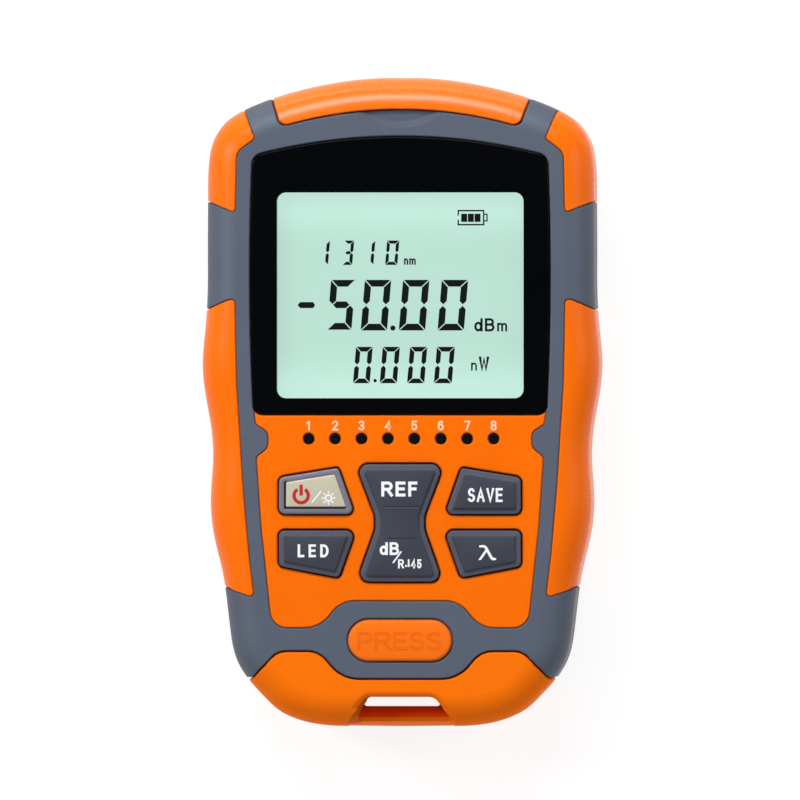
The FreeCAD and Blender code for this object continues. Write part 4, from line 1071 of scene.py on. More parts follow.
ORANGE, GREY = (241, 107, 3), (84, 92, 107)
LCD_LO, LCD_HI, LCD_GLOW = (186, 222, 210), (201, 240, 227), 0.89
M = {
    "orange": surface("abs_orange", ORANGE, 0.3, var=0.025, grain=3200, bump=0.22, spec=0.13),
    "orange_foot": surface("abs_orange_foot", (243, 113, 12), 0.45, var=0.025, grain=3200, bump=0.22, spec=0.015),
    "orange_head": surface("abs_orange_head", ORANGE, 0.27, var=0.025, grain=3200, bump=0.18, spec=0.34),
    # painted shade for the creases on the rocker key
    "crease_shade": surface("key_crease_painted_shade", (40, 43, 52), 0.55, grain=3600, bump=0.25, spec=0.2),
    # painted shade for the edges of the raised PRESS letters
    "bright_letter_shade": surface("abs_orange_painted_letter_shade", (226, 94, 12), 0.5, var=0.03, grain=3200, bump=0.2, spec=0.08),
    "orange_in": surface("abs_orange_inside", ORANGE, 0.5, var=0.03, bump=0.1),
    "bright": surface("abs_orange_bright", (240, 112, 20), 0.45, var=0.02, grain=3200, bump=0.2, spec=0.1),
    # painted shade: the grey is drawn darker on the low walls, below about 26 mm
    "grey": surface("tpe_grey", GREY, 0.45, var=0.03, grain=3600, bump=0.35, dist=0.00003, spec=0.26, painted_shade=(0.0225, 0.0263, 0.6)),
    "black": surface("abs_black", (22, 23, 25), 0.45),
    "lens": surface("lens_black", (4, 5, 7), 0.2, var=0.1, grain=400, bump=0.02, rvar=0.03, spec=0.06),
    "clear": window_clear("lens_clear"),
    "lcd": display_face("lcd_face"),
    "seg": surface("lcd_segment", (8, 14, 14), 0.8, bump=0.05, spec=0.04),
    "acrylic": surface("acrylic", (235, 240, 238), 0.2, trans=0.6, bump=0.05),
    "pcb": surface("pcb_green", (18, 92, 52), 0.4, var=0.12, blotch=900),
    "chip": surface("chip_black", (28, 28, 30), 0.55),
    "ledw": surface("led_body", (235, 232, 220), 0.4),
    "pipe": surface("pipe_smoked", (8, 12, 11), 0.25, spec=0.15, bump=0.03),
    "ring": surface("key_ring", (112, 109, 124), 0.5, grain=3600, bump=0.25),
    "rim": surface("key_rim", (77, 80, 93), 0.55, grain=3600, bump=0.25, spec=0.25),
    "plateau": surface("key_plateau", (56, 60, 71), 0.55, var=0.04, grain=3600, bump=0.25, spec=0.25),
    "insert": surface("key_insert", (192, 186, 165), 0.35, var=0.03, sss=0.15, sss_r=0.0006, bump=0.08),
    "silicone": surface("silicone", (150, 155, 160), 0.6),
    "steel": surface("steel", (190, 192, 196), 0.28, metal=1.0, var=0.05, grain=5000),
    "nickel": surface("nickel", (200, 198, 190), 0.22, metal=1.0, grain=5000),
    "ceramic": surface("ceramic", (238, 236, 230), 0.2),
    "brass": surface("brass", (205, 165, 90), 0.3, metal=1.0, grain=5000),
    "gold": surface("gold", (230, 185, 90), 0.25, metal=1.0, grain=5000),
    "clearp": surface("clear_plastic", (240, 242, 245), 0.08, trans=0.9, bump=0.02),
    "wrap": surface("cell_wrap", (52, 78, 112), 0.35, var=0.1),
    "white": surface("print_white", (236, 236, 240), 0.5, bump=0.05, var=0.02),
    "peach": surface("print_peach", (255, 205, 170), 0.5, bump=0.05, var=0.02),
    "red": surface("print_red", (184, 18, 30), 0.5, bump=0.05, var=0.05),
    "doorm": surface("abs_door", (34, 36, 40), 0.5, grain=3200, bump=0.3),
}

PAINT = {"port_plate": "black", "cover_hinge_pin": "steel", "opm_adapter": "nickel", "opm_sleeve": "ceramic",
         "photodetector": "nickel", "vfl_sleeve": "nickel", "vfl_laser_module": "brass", "torch_led": "clearp",
         "rj45_jack": "black", "rj45_contacts": "gold", "lcd_panel": "lcd", "backlight_guide": "acrylic",
         "main_pcb": "pcb", "pcb_screws": "steel", "board_chips": "chip", "buzzer": "chip", "indicator_leds": "ledw",
         "led_light_pipes": "pipe", "rocker_pin": "steel", "keypad_membrane": "silicone", "dome_power": "silicone",
         "dome_save": "silicone", "dome_led": "silicone", "dome_lambda": "silicone", "rocker_domes": "silicone",
         "button_carrier": "black", "press_spring": "steel", "latch_leaf": "steel", "aaa_cells": "wrap",
         "contact_plates": "steel", "contact_springs": "steel", "battery_door": "doorm", "case_screws": "steel",
         "remote_jack": "black", "remote_contacts": "gold", "remote_pcb": "pcb", "remote_screws": "steel",
         "front_shell": "orange", "front_overmould": "grey", "rear_shell": "orange", "rear_overmould": "grey",
         "top_cover": "orange_head", "lens_window": "lens", "key_power": "ring", "key_power_insert": "insert",
         "key_led": "plateau", "key_save": "plateau", "key_lambda": "plateau", "key_rocker": "plateau",
         "press_button": "bright", "remote_front_shell": "orange_foot", "remote_rear_shell": "orange_foot"}
for n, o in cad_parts.items():
    o.data.materials.clear()
    o.data.materials.append(M[PAINT[n]])

# --------------------------------------------------------------- case pieces
g, o = region_front()
make("case_grey_front", g, [M["grey"]], "main_unit", ["front_overmould"])
make("case_orange_front", o, [M["orange"]], "main_unit", ["front_shell"])
g, o = region_rear()
make("case_grey_rear", g, [M["grey"]], "main_unit", ["rear_overmould"])
make("case_orange_rear", o, [M["orange"]], "main_unit", ["rear_shell"])
make("dust_cover", region_cover(), [M["orange_head"]], "cover", ["top_cover"])
make("remote_front", region_remote(1), [M["orange_foot"]], "remote_unit", ["remote_front_shell"])
make("remote_rear", region_remote(-1), [M["orange_foot"]], "remote_unit", ["remote_rear_shell"])


# ------------------------------------------------------- caps and flat prints
def inward(L):
    """Unit inward direction at each point of a closed polyline."""
    sg = 1.0 if area(L) > 0 else -1.0
    t = np.roll(L, -1, 0) - np.roll(L, 1, 0)
    t /= np.maximum(np.linalg.norm(t, axis=1), 1e-9)[:, None]
    return np.stack([-t[:, 1], t[:, 0]], 1) * sg


def cap(bag, ring_fn, profile, mats, skirt_z, up=1.0):
    """Cap over an outline. ring_fn(d) gives the outline moved in by d; profile is (d, z) from the edge inward;
    mats gives the material of each band and of the flat middle."""
    rings = [ring_fn(d) for d, _ in profile]
    n = len(profile)
    slope = [math.atan2(profile[i + 1][1] - profile[i][1], profile[i + 1][0] - profile[i][0]) for i in range(n - 1)] + [0.0]
    V, NN = [], []
    for i, L in enumerate(rings):
        d, z = profile[i]
        a = slope[0] if i == 0 else 0.5 * (slope[i - 1] + slope[i])
        inn = inward(L)
        V.append(np.concatenate([L, np.full((len(L), 1), z)], 1))
        NN.append(np.concatenate([-inn * math.sin(a), np.full((len(L), 1), math.cos(a))], 1))
    A, NA = np.concatenate(V), np.concatenate(NN)
    verts = [Vector((float(p[0]), float(p[1]))) for p in A]
    edges, b = [], 0
    for L in rings:
        edges += [(b + i, b + (i + 1) % len(L)) for i in range(len(L))]
        b += len(L)
    r = delaunay_2d_cdt(verts, edges, [], 0, 1e-7, True)
    D = np.array([(v[0], v[1]) for v in r[0]])
    T = np.array([f for f in r[2] if len(f) == 3])
    org = r[3]
    src = np.array([o_[0] if len(o_) else -1 for o_ in org])
    for k in np.nonzero(src < 0)[0]:
        src[k] = ((A[:, :2] - D[k]) ** 2).sum(1).argmin()
    P, N3 = A[src].copy(), NA[src]
    P[:, :2] = D
    C = D[T].mean(1)
    lev = sum(inside(L, C).astype(int) for L in rings)
    a = D[T]
    sgn = (a[:, 1, 0] - a[:, 0, 0]) * (a[:, 2, 1] - a[:, 0, 1]) - (a[:, 1, 1] - a[:, 0, 1]) * (a[:, 2, 0] - a[:, 0, 0])
    T[sgn < 0] = T[sgn < 0][:, ::-1]
    for k in range(n):
        m = lev == k + 1
        if m.any() and mats[k] is not None:
            bag.add(P, T[m], N3, mats[k])
    L = rings[0]
    if area(L) < 0:
        L = L[::-1]
    inn = inward(L)
    m_ = len(L)
    W = np.concatenate([np.concatenate([L, np.full((m_, 1), profile[0][1])], 1), np.concatenate([L, np.full((m_, 1), skirt_z)], 1)])
    NW = np.concatenate([-inn, np.zeros((m_, 1))], 1)
    i = np.arange(m_)
    j = (i + 1) % m_
    Q = np.concatenate([np.stack([i, i + m_, j + m_], 1), np.stack([i, j + m_, j], 1)])
    bag.add(W, Q, np.concatenate([NW, NW]), mats[0])


def under(bag, name, zcut, drop=1.0, squeeze=0.97, mat=0):
    """The CAD node's mesh with what is above zcut lowered and drawn in, to sit inside a cap."""
    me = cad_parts[name].data
    me.calc_loop_triangles()
    co = np.zeros(len(me.vertices) * 3)
    me.vertices.foreach_get("co", co)
    co = co.reshape(-1, 3) / MM
    tri = np.zeros(len(me.loop_triangles) * 3, int)
    me.loop_triangles.foreach_get("vertices", tri)
    lt = np.zeros(len(me.loop_triangles) * 3, int)
    me.loop_triangles.foreach_get("loops", lt)
    cn = np.zeros(len(me.loops) * 3)
    me.corner_normals.foreach_get("vector", cn)
    cn = cn.reshape(-1, 3)[lt]
    m = co[:, 2] > zcut
    c = 0.5 * (co.min(0) + co.max(0))
    co[m, 2] -= drop
    co[m, :2] = c[:2] + (co[m, :2] - c[:2]) * squeeze
    bag.V.append(co)
    bag.F.append(tri.reshape(-1, 3) + bag.n)
    bag.N.append(cn)
    bag.M.append(np.full(len(tri) // 3, mat))
    bag.n += len(co)


def prism(bag, loops, z0, z1, mat=0):
    """Flat print or plate: first loop is the outline, the rest are holes."""
    from mathutils.geometry import tessellate_polygon
    vs = [[Vector((float(p[0]), float(p[1]), 0.0)) for p in L] for L in loops]
    tri = tessellate_polygon(vs)
    P = np.concatenate([np.asarray(L, float) for L in loops])
    n = len(P)
    V = np.concatenate([np.concatenate([P, np.full((n, 1), z1)], 1)])
    F = []
    for t in tri:
        a, b, c = P[t[0]], P[t[1]], P[t[2]]
        s = (b[0] - a[0]) * (c[1] - a[1]) - (b[1] - a[1]) * (c[0] - a[0])
        F.append(t if s > 0 else (t[0], t[2], t[1]))
    bag.add(V, F, np.tile([0.0, 0.0, 1.0], (n, 1)), mat)
    b = 0
    for k, L in enumerate(loops):
        L = np.asarray(L, float)
        if (area(L) > 0) != (k == 0):
            L = L[::-1]
        m = len(L)
        W = np.concatenate([np.concatenate([L, np.full((m, 1), z1)], 1), np.concatenate([L, np.full((m, 1), z0)], 1)])
        faces = [(i, i + m, (i + 1) % m + m, (i + 1) % m) for i in range(m)]
        bag.flat(W, faces, mat)


def px(pts, c=400.0):
    return np.array([[(u - c) * U, gy(v)] for u, v in pts])


def arc(cx, cy, rx, ry, a0, a1, n=14):
    t = np.radians(np.linspace(a0, a1, n))
    return [(cx + rx * math.cos(q), cy + ry * math.sin(q)) for q in t]


STEM = ("o", [(0, 0), (0, 1)])
GLYPH = {
    "R": (1.0, [STEM, ("o", [(0, 0)] + arc(0.6, 0.26, 0.38, 0.26, -90, 90) + [(0, 0.52)]), ("o", [(0.56, 0.56), (1, 1)])]),
    "E": (0.86, [STEM, ("o", [(0, 0), (1, 0)]), ("o", [(0, 0.49), (0.9, 0.49)]), ("o", [(0, 1), (1, 1)])]),
    "F": (0.80, [STEM, ("o", [(0, 0), (1, 0)]), ("o", [(0, 0.49), (0.85, 0.49)])]),
    "L": (0.78, [STEM, ("o", [(0, 1), (1, 1)])]),
    "D": (0.98, [("c", [(0, 0)] + arc(0.42, 0.5, 0.58, 0.5, -90, 90) + [(0, 1)])]),
    "d": (0.82, [("c", arc(0.47, 0.66, 0.47, 0.34, 0, 345, 24)), ("o", [(1, 0), (1, 1)])]),
    "B": (0.94, [("c", [(0, 0)] + arc(0.55, 0.235, 0.38, 0.235, -90, 90) + [(0, 0.47)]),
                 ("c", [(0, 0.47)] + arc(0.55, 0.735, 0.45, 0.265, -90, 90) + [(0, 1)])]),
    "P": (0.92, [STEM, ("o", [(0, 0)] + arc(0.58, 0.27, 0.42, 0.27, -90, 90) + [(0, 0.54)])]),
    "J": (0.72, [("o", [(1, 0)] + arc(0.5, 0.7, 0.5, 0.3, 0, 170))]),
    "4": (0.82, [("o", [(0.78, 1), (0.78, 0), (0, 0.7), (1, 0.7)])]),
    "5": (0.80, [("o", [(0.92, 0), (0.14, 0), (0.07, 0.5)] + arc(0.5, 0.67, 0.47, 0.33, -140, 150))]),
    "S": (0.92, [("o", arc(0.5, 0.25, 0.45, 0.25, -28, -262, 18) + arc(0.5, 0.75, 0.5, 0.25, -82, 152, 18))]),
    "A": (1.02, [("o", [(0, 1), (0.5, 0), (1, 1)]), ("o", [(0.24, 0.66), (0.76, 0.66)])]),
    "V": (0.98, [("o", [(0, 0), (0.5, 1), (1, 0)])]),
    "n": (0.9, [STEM, ("o", arc(0.5, 0.42, 0.5, 0.42, 180, 360) + [(1, 1)])]),
    "m": (1.4, [STEM, ("o", arc(0.25, 0.3, 0.25, 0.3, 180, 360) + [(0.5, 1)]), ("o", arc(0.75, 0.3, 0.25, 0.3, 180, 360) + [(1, 1)])]),
    "W": (1.3, [("o", [(0, 0), (0.25, 1), (0.5, 0.08), (0.75, 1), (1, 0)])]),
    "2": (0.8, [("o", arc(0.5, 0.28, 0.47, 0.28, -170, 25) + [(0.02, 1), (1, 1)])]),
    "3": (0.8, [("o", arc(0.47, 0.26, 0.45, 0.26, -155, 90)), ("o", arc(0.47, 0.74, 0.5, 0.26, -90, 155))]),
    "6": (0.8, [("c", arc(0.5, 0.68, 0.48, 0.32, 0, 345, 24)), ("o", [(0.02, 0.68), (0.05, 0.34), (0.24, 0.06), (0.54, 0.0), (0.88, 0.12)])]),
    "7": (0.8, [("o", [(0, 0), (1, 0), (0.38, 1)])]),
    "8": (0.8, [("c", arc(0.5, 0.25, 0.42, 0.25, 0, 345, 24)), ("c", arc(0.5, 0.74, 0.5, 0.26, 0, 345, 24))]),
}


def stroke(bag, pts, w, z, c, closed, high, mat=0):
    """A bar of width w along a path of layout divisions."""
    P = np.array(pts, float)
    keep = [0] + [i for i in range(1, len(P)) if np.linalg.norm(P[i] - P[i - 1]) > 1e-3]
    P = P[keep]
    n, hw = len(P), w / 2
    L, R = [], []
    for i in range(n):
        a = P[i - 1] if (i or closed) else None
        b = P[(i + 1) % n] if (i < n - 1 or closed) else None
        u = (P[i] - a) / np.linalg.norm(P[i] - a) if a is not None else None
        v = (b - P[i]) / np.linalg.norm(b - P[i]) if b is not None else None
        p = P[i].copy()
        if u is None:
            u = v
            p = p - v * hw * (0 if closed else 1)
        if v is None:
            v = u
            p = p + u * hw
        t = u + v
        lt = np.linalg.norm(t)
        if lt < 0.3:
            t, lt = v, 1.0
        t = t / lt
        nn = np.array([-t[1], t[0]])
        k = hw / max(0.45, float(nn @ np.array([-v[1], v[0]])))
        L.append(p + nn * k)
        R.append(p - nn * k)
    if closed:
        A, B = px(L, c), px(R, c)
        if abs(area(A)) < abs(area(B)):
            A, B = B, A
        prism(bag, [A, B], z - 0.02, z + high, mat)
    else:
        prism(bag, [px(L + R[::-1], c)], z - 0.02, z + high, mat)


def lettering(bag, text, x0, x1, y0, y1, z, c=400.0, w=2.4, gap=2.2, high=0.03, mat=0):
    """Plain capitals fitted to a box of layout divisions (x0..x1, y0 head .. y1 foot)."""
    total = sum(GLYPH[ch][0] for ch in text)
    k = (x1 - x0 - gap * (len(text) - 1)) / total
    x = x0
    for ch in text:
        wd, strokes = GLYPH[ch]
        bx0, bx1 = x + w / 2, x + wd * k - w / 2
        by0, by1 = y0 + w / 2, y1 - w / 2
        for j, (kind, pts) in enumerate(strokes):
            hj = high + 0.004 * j
            Q = [(bx0 + u * (bx1 - bx0), by0 + v * (by1 - by0)) for u, v in pts]
            if kind == "o":
                # the end caps stay inside the box
                stroke(bag, Q, w, z, c, False, hj, mat)
            else:
                stroke(bag, Q, w, z, c, True, hj, mat)
        x += wd * k + gap


def ringfn(path, gap=0.0):
    return lambda d: thin(poly(inset(path, gap + d), 0.02), 0.5, 0.12)


KGAP, RIMW = 0.26, 0.98
KEYPROF = [(0.0, 27.30), (0.05, 27.47), (0.16, 27.58), (0.32, 27.62), (0.90, 27.62), (1.00, 27.66),
           (1.04, 28.00), (1.12, 28.11), (1.26, 28.15)]
KEYMATS = [0, 0, 0, 0, 0, 1, 1, 1, 1]
for name, path, body in (("key_led", A_LED, "led_key"), ("key_save", A_SAVE, "save_key"), ("key_lambda", A_LAMBDA, "lambda_key"),
                         ("key_rocker", A_ROCKER, "rocker_key")):
    b = Bag()
    cap(b, ringfn(path, KGAP), KEYPROF, KEYMATS, 24.2)
    under(b, name, 26.4, mat=1)
    make(name + "_cap", b, [M["rim"], M["plateau"]], body, [name])
b = Bag()
cap(b, ringfn(A_POWER, KGAP), [(0.0, 27.30), (0.06, 27.55), (0.2, 27.70), (0.4, 27.75), (1.02, 27.75), (1.12, 27.70), (1.16, 27.2), (1.2, 26.6)],
    [0, 0, 0, 0, 0, 0, 1, 1], 24.2)
under(b, "key_power", 26.4, mat=0)
# painted shadow: black strips along the left and foot of the insert stand for the shaded gap between ring and insert
for pts in ([(283.6, 481.6), (286.4, 480.6), (286.4, 507.6), (283.6, 508.6)], [(283.6, 508.9), (285.6, 506.2), (343.2, 506.7), (345.6, 508.9)]):
    prism(b, [px(pts, 399.6)], 27.0, 27.775, 1)
make("key_power_ring", b, [M["ring"], M["black"]], "power_key", ["key_power"])
b = Bag()
PLATE = [(x + 0.14, y + 0.14, r) for x, y, r in inset(A_POWER, KGAP + 1.20)]
cap(b, lambda d: thin(poly(inset(PLATE, d), 0.02), 0.5, 0.12), [(0.0, 27.6), (0.05, 27.80), (0.15, 27.92), (0.3, 27.95)], [0, 0, 0, 0], 26.3)
under(b, "key_power_insert", 26.6, mat=0)
make("key_power_plate", b, [M["insert"]], "power_key", ["key_power_insert"])
b = Bag()
cap(b, lambda d: thin(poly(pill_path(0.04 + d), 0.02), 0.5, 0.1),
    [(0.0, 26.85), (0.06, 27.1), (0.2, 27.3), (0.42, 27.43), (0.75, 27.5)], [0] * 5, 23.4)
under(b, "press_button", 26.2, mat=0)
# painted shade: a wider, darker copy of the letters under the bright ones draws their shaded edges
lettering(b, "PRESS", 357.5, 441.0, 632.0, 650.0, 27.5, c=399.6, w=2.5, gap=2.6, high=0.045, mat=1)
lettering(b, "PRESS", 358.2, 440.3, 632.7, 649.3, 27.5, c=399.6, w=1.1, gap=4.0, high=0.085, mat=0)
make("press_cap", b, [M["bright"], M["bright_letter_shade"]], "press_key", ["press_button"])

# lens: black print round a clear window
WIN = [(gx(276.7), gy(398.2), 9 * U), (gx(523.6), gy(398.2), 9 * U), (gx(523.6), gy(192.4), 9 * U), (gx(276.7), gy(192.4), 9 * U)]
b = Bag()
LN, WN = thin(poly(lens_path(0.05), 0.02), 0.5, 0.12), thin(poly(WIN, 0.02), 0.8, 0.1)
lens_prof = [(0.0, 26.62), (0.05, 26.80), (0.14, 26.93), (0.28, 26.99), (0.45, 27.0)]


def lens_ring(d):
    return LN if d == 0 else shift(LN, d)


cap(b, lens_ring, lens_prof, [0, 0, 0, 0, None], 25.4)
prism(b, [lens_ring(0.45), WN], 24.42, 27.0, 0)
prism(b, [thin(poly(lens_path(0.2), 0.02), 0.5, 0.12), thin(poly(lens_path(-0.3), 0.02), 0.5, 0.12)], 25.5, 26.35, 0)
make("lens_frame", b, [M["lens"]], "main_unit", ["lens_window"])
b = Bag()
prism(b, [WN], 26.9, 26.995, 0)
make("lens_clear_window", b, [M["clear"]], "main_unit", [])


# ------------------------------------------------------------ display symbols
def seg7(bag, ch, x0, x1, y0, y1, t, k, slant, z0, z1, c=400.0):
    """Seven-segment digit in a box of layout divisions; x0..x1 is the upright cell at its foot."""
    w, h = x1 - x0, y1 - y0
    S = {
        "a": [(k, 0), (w - k, 0), (w - t - k, t), (t + k, t)],
        "d": [(t + k, h - t), (w - t - k, h - t), (w - k, h), (k, h)],
        "f": [(0, k), (t, t + k), (t, h / 2 - t / 2 - k), (t / 2, h / 2 - k), (0, h / 2 - t / 2 - k)],
        "g": [(t / 2 + k, h / 2), (t + k, h / 2 - t / 2), (w - t - k, h / 2 - t / 2), (w - t / 2 - k, h / 2),
              (w - t - k, h / 2 + t / 2), (t + k, h / 2 + t / 2)],
    }
    S["b"] = [(w - x, y) for x, y in S["f"]]
    S["e"] = [(x, h - y) for x, y in S["f"]]
    S["c"] = [(w - x, h - y) for x, y in S["f"]]
    use = {"0": "abcdef", "1": "bc", "3": "abcdg", "5": "acdfg"}[ch]
    for s in use:
        P = px([(x0 + x + (h - y) * slant, y0 + y) for x, y in S[s]], c)
        prism(bag, [P], z0, z1)


def blob(bag, x, y, r, z0, z1, c=400.0, n=20):
    a = np.arange(n) * 2 * math.pi / n
    prism(bag, [px(np.stack([x + r * np.cos(a), y + r * np.sin(a)], 1), c)], z0, z1)


ZD0, ZD1 = 24.3, 24.36
b = Bag()
SL = 0.085
prism(b, [px([(299.5, 302), (312.5, 302), (314.5, 305), (312.5, 308), (299.5, 308), (297, 305)])], ZD0, ZD1)
for ch, xa, xb in (("5", 326.6, 350.6), ("0", 360.4, 386.2), ("0", 398.6, 424.4), ("0", 437.4, 463.2)):
    seg7(b, ch, xa - 0.3, xb + 0.3, 279.8, 330.4 if ch != "5" else 329.6, 6.7, 0.75, SL, ZD0, ZD1)
blob(b, 392.4, 328.0, 2.6, ZD0, ZD1)
for xa, xb in ((352.4, 369.2), (379.2, 396.4), (406.6, 423.8), (433.4, 451.4)):
    seg7(b, "0", xa, xb, 346.8, 383.2, 4.7, 0.55, SL, ZD0, ZD1)
blob(b, 374.6, 380.6, 1.7, ZD0, ZD1)
for ch, xa, xb in (("1", 315.6, 327.4), ("3", 341.8, 351.6), ("1", 361.0, 372.8), ("0", 384.6, 396.8)):
    seg7(b, ch, xa, xb, 240.4, 264.8, 3.1, 0.4, SL, ZD0, ZD1)
lettering(b, "nm", 403.6, 415.3, 258.3, 264.6, ZD0, high=0.05, w=1.5, gap=1.0)
lettering(b, "dB", 473.9, 494.2, 318.2, 331.4, ZD0, high=0.05, w=2.3, gap=2.2)
lettering(b, "m", 496.8, 506.8, 322.8, 331.4, ZD0, high=0.05, w=1.9)
lettering(b, "n", 470.7, 476.6, 362.6, 370.6, ZD0, high=0.05, w=1.6)
lettering(b, "W", 478.5, 488.8, 356.5, 370.6, ZD0, high=0.05, w=2.6)
# battery symbol
prism(b, [px([(457.2, 209.8), (484.0, 209.8), (484.0, 225.3), (457.2, 225.3), (457.2, 219.6), (458.6, 219.6),
              (458.6, 223.8), (482.6, 223.8), (482.6, 211.3), (458.6, 211.3), (458.6, 215.4), (457.2, 215.4)])], ZD0, ZD1)
prism(b, [px([(484.0, 213.6), (487.3, 213.6), (487.3, 221.4), (484.0, 221.4), (484.0, 220.2), (486.0, 220.2), (486.0, 214.8), (484.0, 214.8)])], ZD0, ZD1)
for xa in (460.8, 467.5, 474.2):
    prism(b, [px([(xa, 213.6), (xa + 6.0, 213.6), (xa + 6.0, 221.8), (xa, 221.8)])], ZD0, ZD1)
make("lcd_segments", b, [M["seg"]], "main_unit", [])

# ------------------------------------------------------------- printed legends
ZK = 28.15
b = Bag()
for i in range(8):
    xc = 309.1 + 26.44 * i
    wd = 3.1
    if i == 0:
        prism(b, [px([(xc - 0.3, 421.0), (xc + 1.3, 421.0), (xc + 1.3, 430.4), (xc - 0.5, 430.4), (xc - 0.5, 423.6), (xc - 2.3, 424.4), (xc - 2.3, 423.0)], 400.4)], 27.0, 27.03)
        continue
    lettering(b, str(i + 1), xc - wd, xc + wd, 420.6, 430.4, 27.0, c=400.4, w=1.65)
make("lamp_numbers", b, [M["peach"]], "main_unit", [])
b = Bag()
lettering(b, "REF", 381.2, 417.4, 481.5, 496.5, ZK, c=399.6, w=3.0, gap=2.7)
lettering(b, "dB", 379.6, 399.0, 542.2, 555.0, ZK, c=399.6, w=2.5, gap=1.8)
lettering(b, "RJ45", 398.0, 421.6, 559.2, 568.4, ZK, c=399.6, w=1.75, gap=1.2)
prism(b, [px([(391.9, 563.0), (393.9, 563.0), (402.2, 551.4), (400.2, 551.4)], 399.6)], ZK, ZK + 0.046)
make("legend_rocker", b, [M["white"]], "rocker_key", [])
b = Bag()
# painted shade and highlight: dark strips draw the shadow in the plateau's two creases, and a rim-coloured strip just
# below the upper one draws its lit edge
for x0, x1, ya, yb, m in ((382.5, 419.5, 506.0, 507.3, 0), (383.5, 418.5, 507.3, 508.1, 1), (386.5, 416.5, 537.6, 538.6, 0)):
    prism(b, [px([(x0, ya), (x1, ya), (x1, yb), (x0, yb)], 399.6)], 28.1, 28.157 - 0.002 * m, m)
make("rocker_crease_shade_and_highlight", b, [M["crease_shade"], M["rim"]], "rocker_key", [])
b = Bag()
lettering(b, "SAVE", 467.7, 502.6, 488.0, 502.0, ZK, c=399.6, w=2.4, gap=1.5)
make("legend_save", b, [M["white"]], "save_key", [])
b = Bag()
lettering(b, "LED", 297.5, 328.5, 544.3, 557.3, ZK, c=399.6, w=2.5, gap=4.2)
make("legend_led", b, [M["white"]], "led_key", [])
b = Bag()
lam = [(479.2, 545.2), (484.4, 544.9), (486.8, 546.6), (492.2, 556.3), (493.8, 557.9), (496.0, 558.0), (496.0, 559.9),
       (492.4, 560.2), (490.2, 558.4), (486.6, 551.8), (481.0, 559.9), (478.2, 559.9), (485.4, 549.6), (484.0, 547.3), (479.2, 547.3)]
prism(b, [px(lam, 399.6)], ZK, ZK + 0.03)
make("legend_lambda", b, [M["white"]], "lambda_key", [])
# stand-by sign, slash and lamp sign on the power key
b = Bag()
ZP_ = 27.95
a = np.radians(np.linspace(-58, 238, 40))
R1, R2, ox, oy = 8.8, 5.4, 301.0, 495.6
ring_pts = [(ox + R1 * math.cos(t), oy + R1 * math.sin(t)) for t in a] + [(ox + R2 * math.cos(t), oy + R2 * math.sin(t)) for t in a[::-1]]
prism(b, [px(ring_pts, 399.6)], ZP_, ZP_ + 0.03)
prism(b, [px([(ox - 1.7, 484.6), (ox + 1.7, 484.6), (ox + 1.7, 495.6), (ox - 1.7, 495.6)], 399.6)], ZP_, ZP_ + 0.034)
make("legend_power", b, [M["red"]], "power_key", [])
b = Bag()
prism(b, [px([(310.8, 502.6), (312.6, 502.6), (321.9, 491.0), (320.1, 491.0)], 399.6)], ZP_, ZP_ + 0.03)
ox, oy = 328.4, 498.0
n = 24
t = np.arange(n) * 2 * math.pi / n
prism(b, [px(np.stack([ox + 3.9 * np.cos(t), oy + 3.9 * np.sin(t)], 1), 399.6),
          px(np.stack([ox + 2.2 * np.cos(t), oy + 2.2 * np.sin(t)], 1), 399.6)], ZP_, ZP_ + 0.03)
for k in range(8):
    ca, sa = math.cos(k * math.pi / 4), math.sin(k * math.pi / 4)
    pts = [(4.5, -0.75), (7.0, -0.65), (7.0, 0.65), (4.5, 0.75)]
    prism(b, [px([(ox + u * ca - v * sa, oy + u * sa + v * ca) for u, v in pts], 399.6)], ZP_, ZP_ + 0.03)
make("legend_lamp", b, [M["white"]], "power_key", [])


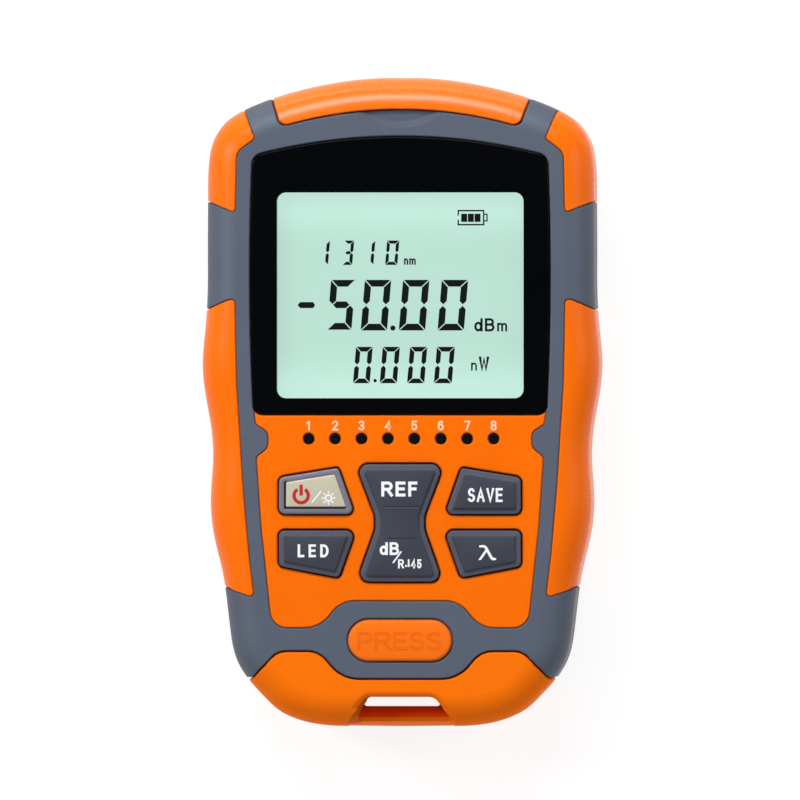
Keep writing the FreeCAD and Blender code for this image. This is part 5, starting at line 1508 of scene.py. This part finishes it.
# ------------------------------------------------------------- floor and light
me = bpy.data.meshes.new("floor")
me.from_pydata([(-4, -4, 0), (4, -4, 0), (4, 4, 0), (-4, 4, 0)], [], [(0, 1, 2, 3)])
floor = bpy.data.objects.new("floor", me)
floor.location = (0, 0, -0.00002)
bpy.context.scene.collection.objects.link(floor)
me.materials.append(surface("floor_paper", (126, 126, 126), 0.9, var=0.004, grain=500, bump=0.01, spec=0.0, rvar=0.02,
                            glow=(255, 255, 255), glow_k=0.86))


def area_light(name, loc, size, energy, color=(1, 1, 1), target=(0, 0, 0.02)):
    L = bpy.data.lights.new(name, "AREA")
    L.shape = "RECTANGLE"
    L.size, L.size_y = size
    L.energy = energy
    L.color = color
    ob = bpy.data.objects.new(name, L)
    bpy.context.scene.collection.objects.link(ob)
    ob.visible_camera = False
    ob.location = loc
    ob.rotation_mode = "QUATERNION"
    ob.rotation_quaternion = (Vector(target) - Vector(loc)).to_track_quat("-Z", "Y")
    return ob


area_light("key_head", (-0.10, 0.85, 0.75), (0.8, 0.35), 11.3)
area_light("key_left", (-0.80, 0.28, 0.68), (0.22, 0.6), 5.4)
area_light("key_right", (0.90, 0.20, 0.60), (0.3, 0.7), 2.3)
area_light("head_strip", (-0.1, 1.0, 0.05), (1.3, 0.09), 2.2)
area_light("foot_fill", (0.0, -0.95, 0.42), (0.6, 0.3), 2.1)
world = bpy.data.worlds.new("studio")
bpy.context.scene.world = world
world.use_nodes = True
world.node_tree.nodes["Background"].inputs[0].default_value = (1, 1, 1, 1)
world.node_tree.nodes["Background"].inputs[1].default_value = 0.17
bpy.context.scene.view_settings.view_transform = "Standard"
bpy.context.scene.view_settings.look = "None"

# ---------------------------------------------------------------------- camera
cam = bpy.data.cameras.new("camera")
DIST = 4.0
cam.sensor_width = 36.0
cam.lens = 36.0 * DIST / 0.152
cam.clip_start, cam.clip_end = 0.2, 30.0
co = bpy.data.objects.new("camera", cam)
bpy.context.scene.collection.objects.link(co)
aim = Vector((0.00002, 0.000456, 0.027))
tilt = math.radians(2.3)
co.location = aim + Vector((math.sin(tilt), 0, math.cos(tilt))) * DIST
co.rotation_mode = "QUATERNION"
co.rotation_quaternion = Matrix(((math.cos(tilt), 0, math.sin(tilt)), (0, 1, 0), (-math.sin(tilt), 0, math.cos(tilt)))).to_quaternion()
bpy.context.scene.camera = co
